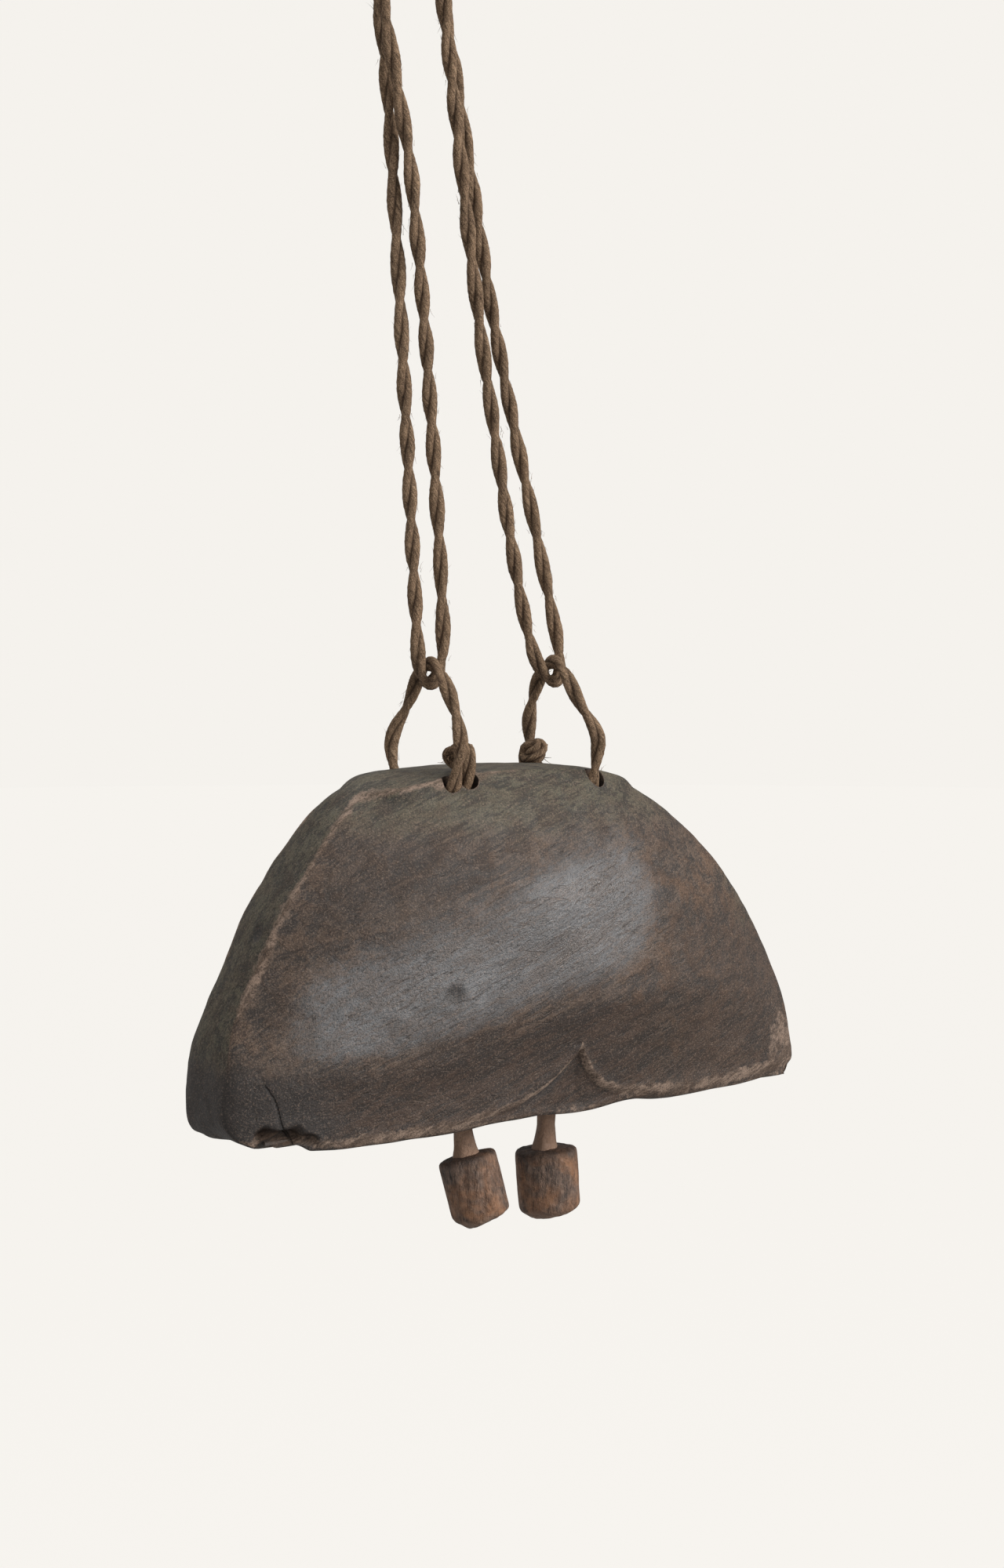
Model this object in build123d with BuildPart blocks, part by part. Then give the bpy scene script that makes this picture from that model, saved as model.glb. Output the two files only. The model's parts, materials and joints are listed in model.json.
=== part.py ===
from build123d import *
import math
import os

os.makedirs("parts", exist_ok=True)

# ---------------------------------------------------------------------------
# Carved wooden herd bell with two wooden clappers, hung on laid cord. Millimetres.
# The origin is where the neck rope bears on the peg that it hangs from, +Z up.
# The bell is level: its long side lies along X and its front faces -Y.
# Sizes below are given from the centre of the bell's rim and moved by spot() or level().
# ---------------------------------------------------------------------------

BELL_X = 43.5  # the bell's centre lies this far along +X from the peg
RIM_Z = -449.0  # the rim lies this far below the peg

# Bell body, carved from one block
HALF_LENGTH = 136.0
CROWN_HEIGHT = 134.0
SIDE = (128.5, 42.0)  # end of the straight, leaning side of the arch
ARCH_MIDDLE = (102.5, 89.0)
SHOULDER = (58.0, 126.0)  # where the side meets the flatter crown
FOOT_RADIUS = 11.0  # rounded lower corner at each end
# Each face is an arc in plan: height, half depth at the middle, half depth at the end band
FACES = ((-6.0, 38.0, 15.5), (38.0, 43.0, 13.5), (82.0, 40.5, 14.0), (112.0, 34.5, 16.0), (140.0, 25.0, 17.0))
FACE_OVERRUN = 9.0  # the faces run past the arch, which then trims them
# The hollow, as ellipses: height, half length, half depth
HOLLOW = ((-7.0, 119.0, 28.5), (45.0, 110.0, 31.0), (88.0, 86.0, 25.5), (112.0, 56.0, 17.0))

# Cords
STRAND = 3.1
ROPE = 6.2  # two strands laid together
HOLE_CLEARANCE = 0.6  # each hole is worn this much wider than its rope, all round

# Clappers, each whittled in one piece from a branch
STEM_RADIUS = 4.3
EYE_HOLE = 4.3
EYE_TOP = 6.5  # wood above the middle of the eye
NECK_FLARE = 7.0
HEAD_TOP_RADIUS = 0.92  # parts of the head's largest radius
HEAD_SHOULDER = 2.2
HEAD_CHAMFER = 3.4
TIP_RADIUS = 0.45

# Clapper ties: a loop of one strand from the rope under the crown to the clapper's eye
TIE_DROP = 26.5
TIE_TOP_HALF = 5.4
TIE_EYE_HALF = 7.0
TIE_OVER_ROPE = ROPE / 2 + STRAND / 2 + 0.4
TIE_KNOT_RADIUS = 3.4


def spot(x, y, height):
    """A point given from the middle of the rim."""
    return Vector(BELL_X + x, y, RIM_Z + height)


def level(height):
    """A level plane at a height above the rim, centred on the bell."""
    return Plane(origin=(BELL_X, 0, RIM_Z + height))


def route_radii(points, tight):
    """Arc radius at each inner point: as large as its runs allow, or the fold's own where it is tight."""
    radii = []
    for index in range(1, len(points) - 1):
        before = points[index] - points[index - 1]
        after = points[index + 1] - points[index]
        half_turn = math.radians(before.get_angle(after)) / 2
        radii.append(tight.get(index, 0.45 * min(before.length, after.length) / math.tan(half_turn)))
    return radii


def tube(points, radius, tight={}, mode=Mode.ADD):
    """Add to the open part, or cut from it, a round tube along straight runs and tangent arcs."""
    with BuildLine():
        path = FilletPolyline(*points, radius=route_radii(points, tight))
    with BuildSketch(Plane(origin=path @ 0, z_dir=path % 0)) as section:
        Circle(radius)
    sweep(section.sketch, path=path, mode=mode)
    return path.length


def report(name, points, diameter, part, length, tight={}):
    """Print a cord's length, smallest radius and how near its volume is to section times length."""
    radii = [round(radius, 1) for radius in route_radii(points, tight)]
    share = part.volume / (math.pi * diameter**2 / 4 * length)
    print(f"{name}: {length:.0f} long, {diameter} thick, volume share {share:.3f}, radii {radii}")


# ---------------------------------------------------------------------------
# Cord routes
# ---------------------------------------------------------------------------

# Left bridle: from its knot on the crown down the front hole, across under the crown, up the back
# hole, over the neck rope, and down the front hole again to a stopper knot inside.
LEFT_BRIDLE = [
    spot(-28.5, -16.5, 139.5), spot(-26.5, -27.5, 139.0), spot(-26.3, -29.0, 130.5),
    spot(-28.4, -11.0, 98.5), spot(-33.2, 11.0, 98.5), spot(-35.0, 28.5, 131.0),
    spot(-35.6, 28.0, 143.0), spot(-33.6, 16.0, 160.0), spot(-32.8, 6.8, 175.0),
    spot(-32.2, -6.8, 175.0), spot(-32.0, -17.0, 158.0), spot(-32.6, -26.5, 142.0),
    spot(-33.4, -28.8, 130.5), spot(-36.5, -14.0, 104.0), spot(-38.0, -11.0, 97.0),
]

# Right bridle: the same the other way round, with its knot at the back hole.
RIGHT_BRIDLE = [
    spot(35.0, 19.5, 139.5), spot(27.0, 22.0, 140.0), spot(25.4, 29.0, 131.0),
    spot(27.4, 11.0, 98.5), spot(31.0, -11.0, 98.5), spot(32.2, -29.0, 130.5),
    spot(32.4, -27.5, 142.5), spot(28.6, -16.0, 160.0), spot(24.3, -6.8, 175.4),
    spot(23.7, 6.8, 175.4), spot(26.6, 16.5, 159.0), spot(31.2, 26.5, 143.0),
    spot(32.4, 28.8, 131.0), spot(35.6, 14.0, 104.0), spot(37.0, 11.0, 97.0),
]

# Neck rope: from its knot down the left pair of legs, round the left bridle and up, over the peg,
# down and up the right pair, over the peg again beside itself and back to the knot.
NECK_ROPE = [
    spot(-55.6, 3.5, 437.0), spot(-51.6, 3.5, 423.0), spot(-46.6, 3.5, 372.0), spot(-39.8, 0, 190.0),
    spot(-39.6, 0, 166.5), spot(-25.6, 0, 166.5), spot(-24.6, 0, 188.0), spot(-42.0, -3.5, 354.0),
    spot(-49.2, -3.5, 395.0), spot(-56.4, -3.5, 430.0), spot(-57.5, -3.5, 452.0),
    spot(-29.5, -3.5, 452.0), spot(-27.6, -3.5, 424.0), spot(-20.6, -3.5, 370.0),
    spot(-9.8, -3.2, 303.0), spot(11.4, 0, 190.0), spot(18.0, 0, 164.8), spot(32.6, 0, 168.4),
    spot(27.4, 0, 190.0), spot(-0.2, 3.4, 304.0), spot(-12.0, 3.5, 370.0), spot(-23.4, 3.5, 428.0),
    spot(-29.5, 3.5, 452.0), spot(-57.5, 3.5, 452.0), spot(-56.2, 3.5, 438.0),
]

# Knots: node name, centre, half width and half height
KNOTS = (
    ("bridle_left_knot", spot(-28.5, -16.5, 140.0), (6.4, 5.8)),
    ("bridle_right_knot", spot(34.2, 19.2, 140.2), (6.4, 5.6)),
    ("bridle_left_inner_knot", spot(-38.0, -11.0, 96.5), (5.6, 5.6)),
    ("bridle_right_inner_knot", spot(37.0, 11.0, 96.5), (5.6, 5.6)),
    ("neck_rope_knot", spot(-56.0, 4.5, 437.5), (8.0, 8.0)),
)


# ---------------------------------------------------------------------------
# Bell body
# ---------------------------------------------------------------------------


def arch_half_length(height):
    """Half length of the bell at a height, on the straight side and the two arcs of its outline."""
    share = max(0.0, min(1.0, height / CROWN_HEIGHT))
    return HALF_LENGTH * (1 - share**2.15) ** 0.5 + FACE_OVERRUN


with BuildPart() as bell_body:
    # Two bowed faces, joined by short straight ends that lie outside the arch
    for height, half_depth, end_depth in FACES:
        reach = max(arch_half_length(height), SHOULDER[0])
        with BuildSketch(level(height)):
            with BuildLine():
                ThreePointArc((-reach, -end_depth), (0, -half_depth), (reach, -end_depth))
                Line((reach, -end_depth), (reach, end_depth))
                ThreePointArc((reach, end_depth), (0, half_depth), (-reach, end_depth))
                Line((-reach, end_depth), (-reach, -end_depth))
            make_face()
    loft()

    # The arch trims the ends and the crown, and leaves the flat band round the bell.
    with BuildSketch(Plane(origin=(BELL_X, 0, RIM_Z), x_dir=(1, 0, 0), z_dir=(0, -1, 0))) as arch:
        with BuildLine():
            FilletPolyline((0, 0), (HALF_LENGTH, 0), SIDE, radius=FOOT_RADIUS)
            ThreePointArc(SIDE, ARCH_MIDDLE, SHOULDER)
            ThreePointArc(SHOULDER, (0, CROWN_HEIGHT), (-SHOULDER[0], SHOULDER[1]))
            ThreePointArc(
                (-SHOULDER[0], SHOULDER[1]), (-ARCH_MIDDLE[0], ARCH_MIDDLE[1]), (-SIDE[0], SIDE[1])
            )
            FilletPolyline((-SIDE[0], SIDE[1]), (-HALF_LENGTH, 0), (0, 0), radius=FOOT_RADIUS)
        make_face()
    extrude(amount=80, both=True, mode=Mode.INTERSECT)

    # The hollow, open at the mouth
    for height, half_length, half_depth in HOLLOW:
        with BuildSketch(level(height)):
            Ellipse(half_length, half_depth)
    loft(mode=Mode.SUBTRACT)

    # The cord holes follow the ropes that wore them: one bridle end crosses under the crown from
    # hole to hole, and the other shares the first hole and stops inside.
    for route in (LEFT_BRIDLE, RIGHT_BRIDLE):
        for stretch in (route[1:7], route[11:]):
            tube(stretch, ROPE / 2 + HOLE_CLEARANCE, mode=Mode.SUBTRACT)

bell_body.part.label = "bell_body"
export_step(bell_body.part, "parts/bell_body.step")
print("bell body volume", round(bell_body.part.volume), "solids", len(bell_body.part.solids()))


# ---------------------------------------------------------------------------
# Bridles and neck rope
# ---------------------------------------------------------------------------

for name, route in (("bridle_left", LEFT_BRIDLE), ("bridle_right", RIGHT_BRIDLE), ("neck_rope", NECK_ROPE)):
    with BuildPart() as rope:
        length = tube(route, ROPE / 2)
    rope.part.label = name
    export_step(rope.part, f"parts/{name}.step")
    report(name, route, ROPE, rope.part, length)

for name, centre, (across, up) in KNOTS:
    with BuildPart() as knot:
        with BuildSketch(Plane(origin=centre, x_dir=(1, 0, 0), z_dir=(0, -1, 0))):
            RectangleRounded(2 * across, 2 * up, 0.85 * min(across, up))
            with Locations((-across, 0)):
                Rectangle(2 * across, 3 * up, mode=Mode.SUBTRACT)
        revolve(axis=Axis(centre, (0, 0, 1)))
    knot.part.label = name
    export_step(knot.part, f"parts/{name}.step")


# ---------------------------------------------------------------------------
# Clappers and their ties
# ---------------------------------------------------------------------------


class Hanger:
    """Where one clapper hangs: a loop of strand on the bridle's run under the crown, and an eye in it."""

    def __init__(self, run_start, run_end, neck, head_lean, head_radius, head_height):
        self.run = run_end - run_start
        self.along = Vector(self.run.X, self.run.Y, 0).normalized()
        across = self.along.cross(Vector(0, 0, 1))
        self.pivot = (run_start + run_end) * 0.5
        self.neck = neck
        self.head_axis = Vector(*head_lean, -1).normalized()
        self.head_radius = head_radius
        self.head_height = head_height
        # The tie leans sideways with the clapper, so that both hang in one line seen from the front.
        reach = neck - self.pivot
        self.side_lean = math.atan2(reach.dot(across), -reach.Z)
        self.across = across * math.cos(self.side_lean) + Vector(0, 0, 1) * math.sin(self.side_lean)
        self.down = across * math.sin(self.side_lean) - Vector(0, 0, 1) * math.cos(self.side_lean)
        self.eye = self.pivot + self.down * TIE_DROP
        self.stem_axis = (neck - self.eye).normalized()


LEFT = Hanger(LEFT_BRIDLE[3], LEFT_BRIDLE[4], spot(-23.6, -12.0, -16.5), (0.17, -0.21), 11.4, 27.0)
RIGHT = Hanger(RIGHT_BRIDLE[4], RIGHT_BRIDLE[3], spot(24.4, 3.0, -22.6), (0.06, -0.05), 12.9, 27.5)


def make_clapper(hanger):
    """A round stem from above the eye down to the neck, and a barrel head on its own leaning axis."""
    length = (hanger.neck - hanger.eye).length
    stem_side = hanger.across.cross(hanger.stem_axis)
    head_side = hanger.head_axis.cross(Vector(0, 1, 0)).normalized()
    radius = hanger.head_radius
    height = hanger.head_height
    with BuildPart() as clapper:
        with BuildSketch(Plane(origin=hanger.eye, x_dir=stem_side, z_dir=hanger.across)):
            with BuildLine():
                ThreePointArc((0, EYE_TOP), (STEM_RADIUS * 0.7, EYE_TOP * 0.72), (STEM_RADIUS, EYE_TOP * 0.2))
                Polyline(
                    (STEM_RADIUS, EYE_TOP * 0.2), (STEM_RADIUS * 0.94, -length * 0.5),
                    (STEM_RADIUS * 0.94, NECK_FLARE - length), (STEM_RADIUS * 1.25, -length),
                    (STEM_RADIUS * 1.1, -length - 4), (0, -length - 4), (0, EYE_TOP),
                )
            make_face()
        revolve(axis=Axis(hanger.eye, hanger.stem_axis))

        # The head: a chamfered top, straight sides and a blunt whittled tip
        with BuildSketch(Plane(origin=hanger.neck, x_dir=head_side, z_dir=head_side.cross(-hanger.head_axis))):
            with BuildLine():
                Polyline(
                    (0, 0), (radius * HEAD_TOP_RADIUS, 0), (radius, -HEAD_SHOULDER),
                    (radius, -height + HEAD_CHAMFER + 2), (radius * 0.9, -height + HEAD_CHAMFER),
                    (radius * TIP_RADIUS, -height), (0, -height), (0, 0),
                )
            make_face()
        revolve(axis=Axis(hanger.neck, hanger.head_axis))

        with BuildSketch(Plane(origin=hanger.eye, z_dir=hanger.across)):
            Circle(EYE_HOLE / 2)
        extrude(amount=20, both=True, mode=Mode.SUBTRACT)
    return clapper


def tie_route(hanger):
    """The loop of strand: from its knot down through the eye, up, over the rope and back."""
    def at(side, rise):
        return hanger.eye + hanger.across * side - hanger.down * rise

    top = TIE_DROP + TIE_OVER_ROPE
    return [
        at(-TIE_EYE_HALF + 0.4, TIE_DROP * 0.45), at(-TIE_EYE_HALF, 0), at(TIE_EYE_HALF, 0),
        at(TIE_EYE_HALF - 0.6, TIE_DROP * 0.55), at(TIE_TOP_HALF, top), at(-TIE_TOP_HALF, top),
        at(-TIE_EYE_HALF + 0.9, TIE_DROP * 0.6),
    ]


TIE_TIGHT = {1: STRAND, 2: STRAND}  # the strand folds round the edges of the eye

for name, hanger in (("clapper_left", LEFT), ("clapper_right", RIGHT)):
    clapper = make_clapper(hanger)
    clapper.part.label = name
    export_step(clapper.part, f"parts/{name}.step")

    route = tie_route(hanger)
    with BuildPart() as tie:
        length = tube(route, STRAND / 2, TIE_TIGHT)
    tie.part.label = f"{name}_tie"
    export_step(tie.part, f"parts/{name}_tie.step")
    report(f"{name}_tie", route, STRAND, tie.part, length, TIE_TIGHT)

    with BuildPart() as tie_knot:
        with BuildSketch(Plane(origin=(route[0] + route[-1]) * 0.5, x_dir=(1, 0, 0), z_dir=(0, -1, 0))):
            Circle(TIE_KNOT_RADIUS)
            with Locations((-TIE_KNOT_RADIUS, 0)):
                Rectangle(2 * TIE_KNOT_RADIUS, 4 * TIE_KNOT_RADIUS, mode=Mode.SUBTRACT)
        revolve(axis=Axis((route[0] + route[-1]) * 0.5, (0, 0, 1)))
    tie_knot.part.label = f"{name}_tie_knot"
    export_step(tie_knot.part, f"parts/{name}_tie_knot.step")
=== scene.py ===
"""A hand-carved wooden herd bell with two wooden clappers, hung on laid plant-fibre cord.

Every size is in millimetres from the middle of the bell's rim unless a name says otherwise; spot()
turns such a point into metres in the model's own frame, where +X is the bell's long side, +Z is up
and the front faces -Y.
"""

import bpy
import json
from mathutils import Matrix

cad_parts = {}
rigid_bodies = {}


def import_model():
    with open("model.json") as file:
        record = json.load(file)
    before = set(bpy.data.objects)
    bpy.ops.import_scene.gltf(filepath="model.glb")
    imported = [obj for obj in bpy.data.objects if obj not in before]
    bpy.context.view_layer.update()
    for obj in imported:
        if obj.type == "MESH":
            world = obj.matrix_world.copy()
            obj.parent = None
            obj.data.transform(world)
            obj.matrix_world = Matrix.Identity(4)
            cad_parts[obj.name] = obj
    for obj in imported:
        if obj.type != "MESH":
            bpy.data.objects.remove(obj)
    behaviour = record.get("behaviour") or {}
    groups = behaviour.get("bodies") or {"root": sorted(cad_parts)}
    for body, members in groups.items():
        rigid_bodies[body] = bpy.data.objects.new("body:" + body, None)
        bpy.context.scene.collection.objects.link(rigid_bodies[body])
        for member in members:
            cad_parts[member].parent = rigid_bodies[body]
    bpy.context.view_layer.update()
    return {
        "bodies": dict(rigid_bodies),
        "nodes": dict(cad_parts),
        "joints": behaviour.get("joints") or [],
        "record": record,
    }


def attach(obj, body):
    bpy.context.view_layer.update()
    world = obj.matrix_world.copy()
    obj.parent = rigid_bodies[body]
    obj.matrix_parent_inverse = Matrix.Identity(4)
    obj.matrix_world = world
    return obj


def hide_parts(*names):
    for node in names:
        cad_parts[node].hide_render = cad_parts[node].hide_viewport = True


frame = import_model()

import itertools
import json
import logging
import math
from dataclasses import dataclass, field
from enum import Enum

import bmesh
import bpy
import numpy as np

LOG = logging.getLogger("herd_bell")

MM = 0.001
BELL_X = 43.5
RIM_Z = -449.0

FAR_FROM_EDGE = 30.0
FAR_FROM_GROOVE = 9.0

Pair = tuple[float, float]
Point = tuple[float, float, float]
Colour = tuple[float, float, float, float]
Stations = tuple[Pair, ...]
Route = tuple[Point, ...]
Frames = tuple[np.ndarray, np.ndarray, np.ndarray]


# ---------------------------------------------------------------------------
# Small numeric helpers
# ---------------------------------------------------------------------------


def spot(x: float, y: float, height: float) -> Point:
    """A point given from the middle of the rim, in metres."""
    return ((BELL_X + x) * MM, y * MM, (RIM_Z + height) * MM)


def to_metres(points: np.ndarray) -> np.ndarray:
    """Points given from the middle of the rim, as an array in metres."""
    return (np.asarray(points, float) + (BELL_X, 0.0, RIM_Z)) * MM


def ease(values: np.ndarray, low: float, high: float) -> np.ndarray:
    """Smooth step: 0 below low, 1 above high, and 3t squared minus 2t cubed between them."""
    t = np.clip((np.asarray(values, float) - low) / (high - low), 0.0, 1.0)
    return t * t * (3.0 - 2.0 * t)


def hump(values: np.ndarray, centre: float, width: float) -> np.ndarray:
    """Bell curve: e to the minus half of the squared distance from centre in widths."""
    return np.exp(-0.5 * ((np.asarray(values, float) - centre) / width) ** 2)


def unit(vectors: np.ndarray) -> np.ndarray:
    """Vectors divided by their length."""
    return vectors / np.maximum(np.linalg.norm(vectors, axis=-1, keepdims=True), 1e-12)


def soft_noise(points: np.ndarray, size: float, seed: int, octaves: int = 1) -> np.ndarray:
    """Smooth random values of about -1 to 1.

    Random numbers stand at the corners of cubes of edge size, and each point eases between the
    eight round it; each further octave adds half as much at half the size.

    Args:
        points: Positions, in the last axis.
        size: Edge of the cubes, in the points' unit.
        seed: Seed of the random numbers.
        octaves: How many layers are added.

    Returns:
        One value per point.
    """
    total = np.zeros(points.shape[:-1])
    for octave in range(octaves):
        lattice = np.random.default_rng(seed + octave).uniform(-1.0, 1.0, (32, 32, 32))
        scaled = points / (size / 2**octave) + 7.3
        cell = np.floor(scaled).astype(int)
        part = scaled - cell
        part = part * part * (3.0 - 2.0 * part)
        for corner in itertools.product((0, 1), repeat=3):
            weight = np.prod(np.where(corner, part, 1.0 - part), axis=-1)
            index = (cell + corner) % 32
            total += weight * lattice[index[..., 0], index[..., 1], index[..., 2]] * 1.6 / 2**octave
    return total


def through_stations(stations: Stations, at: np.ndarray, soften: float) -> np.ndarray:
    """A fair curve through stations: straight runs between them, averaged over soften each way.

    Args:
        stations: Pairs of height and value.
        at: Heights to read the curve at.
        soften: How far above and below each height the average reaches.

    Returns:
        One value per height.
    """
    heights, values = np.array(stations).T
    offsets = np.linspace(-1.0, 1.0, 9) * soften
    return np.mean([np.interp(at + offset, heights, values) for offset in offsets], axis=0)


def arc_through(start: Pair, middle: Pair, end: Pair, count: int) -> np.ndarray:
    """Points on the circle through three points of a plane, from the first to the last.

    The centre is equally far from all three; the angle runs evenly from start to end past middle.

    Args:
        start: The first point.
        middle: A point on the way.
        end: The last point.
        count: How many points are given back.

    Returns:
        The points, as (count, 2).
    """
    (ax, ay), (bx, by), (cx, cy) = start, middle, end
    turn = 2.0 * (ax * (by - cy) + bx * (cy - ay) + cx * (ay - by))
    squares = [ax * ax + ay * ay, bx * bx + by * by, cx * cx + cy * cy]
    ox = (squares[0] * (by - cy) + squares[1] * (cy - ay) + squares[2] * (ay - by)) / turn
    oy = (squares[0] * (cx - bx) + squares[1] * (ax - cx) + squares[2] * (bx - ax)) / turn
    angles = np.unwrap([math.atan2(y - oy, x - ox) for x, y in (start, middle, end)])
    swing = np.linspace(angles[0], angles[2], count)
    radius = math.hypot(ax - ox, ay - oy)
    return np.stack([ox + radius * np.cos(swing), oy + radius * np.sin(swing)], axis=-1)


def even_steps(path: np.ndarray, step: float) -> np.ndarray:
    """The same path, read at points one step apart along its length."""
    travelled = np.concatenate([[0.0], np.cumsum(np.linalg.norm(np.diff(path, axis=0), axis=1))])
    marks = np.linspace(0.0, travelled[-1], max(int(round(travelled[-1] / step)), 3) + 1)
    return np.stack([np.interp(marks, travelled, path[:, axis]) for axis in range(path.shape[1])], axis=-1)


def carried_frames(path: np.ndarray) -> Frames:
    """Tangent, side and other side at each station of a path, carried along it without twist.

    Each side is the last one with its part along the new tangent taken away. The loop is over
    stations of the path, not over vertices.

    Args:
        path: The path's stations, as (stations, 3).

    Returns:
        The three directions at each station.
    """
    tangents = unit(np.gradient(path, axis=0))
    sides = np.empty_like(tangents)
    first = np.array([0.0, 0.0, 1.0]) if abs(tangents[0][2]) < 0.8 else np.array([1.0, 0.0, 0.0])
    for index, tangent in enumerate(tangents):
        first = unit(first - tangent * (first @ tangent))
        sides[index] = first
    return tangents, sides, np.cross(tangents, sides)


def circles(side: np.ndarray, other: np.ndarray, angle: np.ndarray) -> np.ndarray:
    """Unit circles at each station of a path: cos of the angle times one side plus sin times the other.

    Args:
        side: One side at each station, as (stations, 3).
        other: The other side, square to it.
        angle: The angles round each circle.

    Returns:
        Directions, as (stations, angles, 3).
    """
    return np.cos(angle)[None, :, None] * side[:, None] + np.sin(angle)[None, :, None] * other[:, None]


def nurbs_points(name: str, route: list[Point]) -> np.ndarray:
    """Points along the smooth NURBS line whose control points are the route's, in metres.

    Args:
        name: Name of the line while it stands.
        route: Its control points, in metres.

    Returns:
        The points, as (points, 3).
    """
    curve = bpy.data.curves.new(name, "CURVE")
    curve.dimensions = "3D"
    spline = curve.splines.new("NURBS")
    spline.points.add(len(route) - 1)
    for point, position in zip(spline.points, route):
        point.co = (*position, 1.0)
    spline.order_u = 3
    spline.use_endpoint_u = True
    curve.resolution_u = 24
    holder = bpy.data.objects.new(name, curve)
    bpy.context.scene.collection.objects.link(holder)
    mesh = bpy.data.meshes.new_from_object(holder)
    points = np.empty(len(mesh.vertices) * 3)
    mesh.vertices.foreach_get("co", points)
    bpy.data.objects.remove(holder)
    bpy.data.curves.remove(curve)
    bpy.data.meshes.remove(mesh)
    return points.reshape(-1, 3)


# ---------------------------------------------------------------------------
# Mesh building
# ---------------------------------------------------------------------------


class MeshMaker:
    """Collects grids of points, with values at each point, and makes one mesh object of them."""

    def __init__(self) -> None:
        """Start with nothing."""
        self.points: list[np.ndarray] = []
        self.faces: list[tuple[int, ...]] = []
        self.values: dict[str, list[tuple[int, np.ndarray]]] = {}
        self.count = 0

    def add_points(self, points: np.ndarray, **values: np.ndarray) -> int:
        """Add points with named values.

        Args:
            points: Positions in metres, in the last axis.
            values: One number or direction for each point, under its attribute's name.

        Returns:
            The index of the first.
        """
        start = self.count
        self.points.append(points.reshape(-1, 3))
        self.count += points.reshape(-1, 3).shape[0]
        for name, value in values.items():
            self.values.setdefault(name, []).append((start, np.asarray(value, float)))
        return start

    def add_quads(self, index: np.ndarray) -> None:
        """Add the faces between neighbouring rows and columns of a grid of point indices."""
        quads = np.stack([index[:-1, :-1], index[:-1, 1:], index[1:, 1:], index[1:, :-1]], axis=-1)
        self.faces.extend(map(tuple, quads.reshape(-1, 4).tolist()))

    def add_tube(self, rings: np.ndarray, **values: np.ndarray) -> None:
        """Add rings of points as a closed tube whose ends close on the middle of their ring.

        Args:
            rings: Points, as (rings, points round each, 3).
            values: Named values at those points.
        """
        rows, columns = rings.shape[:2]
        start = self.add_points(rings, **values)
        index = start + np.arange(rows * columns).reshape(rows, columns)
        self.add_quads(np.concatenate([index, index[:, :1]], axis=1))
        ends = {name: value.reshape(rows, columns, *value.shape[2:]) for name, value in values.items()}
        for row, flip in ((0, False), (rows - 1, True)):
            middle = {name: value[row].mean(axis=0)[None] for name, value in ends.items()}
            tip = self.add_points(rings[row].mean(axis=0)[None], **middle)
            around = index[row].tolist()
            for here, following in zip(around, around[1:] + around[:1]):
                self.faces.append((tip, here, following) if flip else (tip, following, here))

    def build(self, name: str, merge: float = 0.0, sharp_angle: float | None = None) -> bpy.types.Object:
        """Make the mesh object, in the scene, smooth shaded, with its values as attributes.

        Args:
            name: Name of the piece.
            merge: Distance in metres within which points become one; normals are then recalculated.
            sharp_angle: Angle in degrees past which an edge stays sharp.

        Returns:
            The new object, at the origin.
        """
        mesh = bpy.data.meshes.new(name)
        points = np.concatenate(self.points)
        mesh.from_pydata(points.tolist(), [], self.faces)
        for title, chunks in self.values.items():
            wide = chunks[0][1].ndim and chunks[0][1].shape[-1] == 3 and title.endswith("_way")
            table = np.zeros((self.count, 3) if wide else self.count)
            for start, value in chunks:
                flat = value.reshape(-1, 3) if wide else value.reshape(-1)
                table[start : start + len(flat)] = flat
            layer = mesh.attributes.new(title, "FLOAT_VECTOR" if wide else "FLOAT", "POINT")
            layer.data.foreach_set("vector" if wide else "value", table.reshape(-1))
        if merge:
            work = bmesh.new()
            work.from_mesh(mesh)
            bmesh.ops.remove_doubles(work, verts=work.verts, dist=merge)
            bmesh.ops.dissolve_degenerate(work, dist=merge * 0.2, edges=work.edges)
            bmesh.ops.recalc_face_normals(work, faces=work.faces)
            if work.calc_volume(signed=True) < 0.0:
                bmesh.ops.reverse_faces(work, faces=work.faces)
            work.to_mesh(mesh)
            work.free()
        mesh.shade_smooth()
        if sharp_angle is not None:
            mesh.set_sharp_from_angle(angle=math.radians(sharp_angle))
        piece = bpy.data.objects.new(name, mesh)
        bpy.context.scene.collection.objects.link(piece)
        return piece


def cut(piece: bpy.types.Object, cutters: list[bpy.types.Object], sharp_angle: float) -> None:
    """Cut closed shapes out of a piece, keep the result as its own mesh and remove the cutters.

    Args:
        piece: The piece to cut.
        cutters: Closed shapes that don't cross one another's walls.
        sharp_angle: Angle in degrees past which an edge stays sharp.
    """
    for cutter in cutters:
        modifier = piece.modifiers.new(cutter.name, "BOOLEAN")
        modifier.operation = "DIFFERENCE"
        modifier.solver = "EXACT"
        modifier.object = cutter
    bpy.context.view_layer.update()
    shaped = bpy.data.meshes.new_from_object(piece.evaluated_get(bpy.context.evaluated_depsgraph_get()))
    piece.modifiers.clear()
    old, piece.data = piece.data, shaped
    shaped.name = old.name
    bpy.data.meshes.remove(old)
    shaped.set_sharp_from_angle(angle=math.radians(sharp_angle))
    for cutter in cutters:
        bpy.data.objects.remove(cutter)


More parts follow.
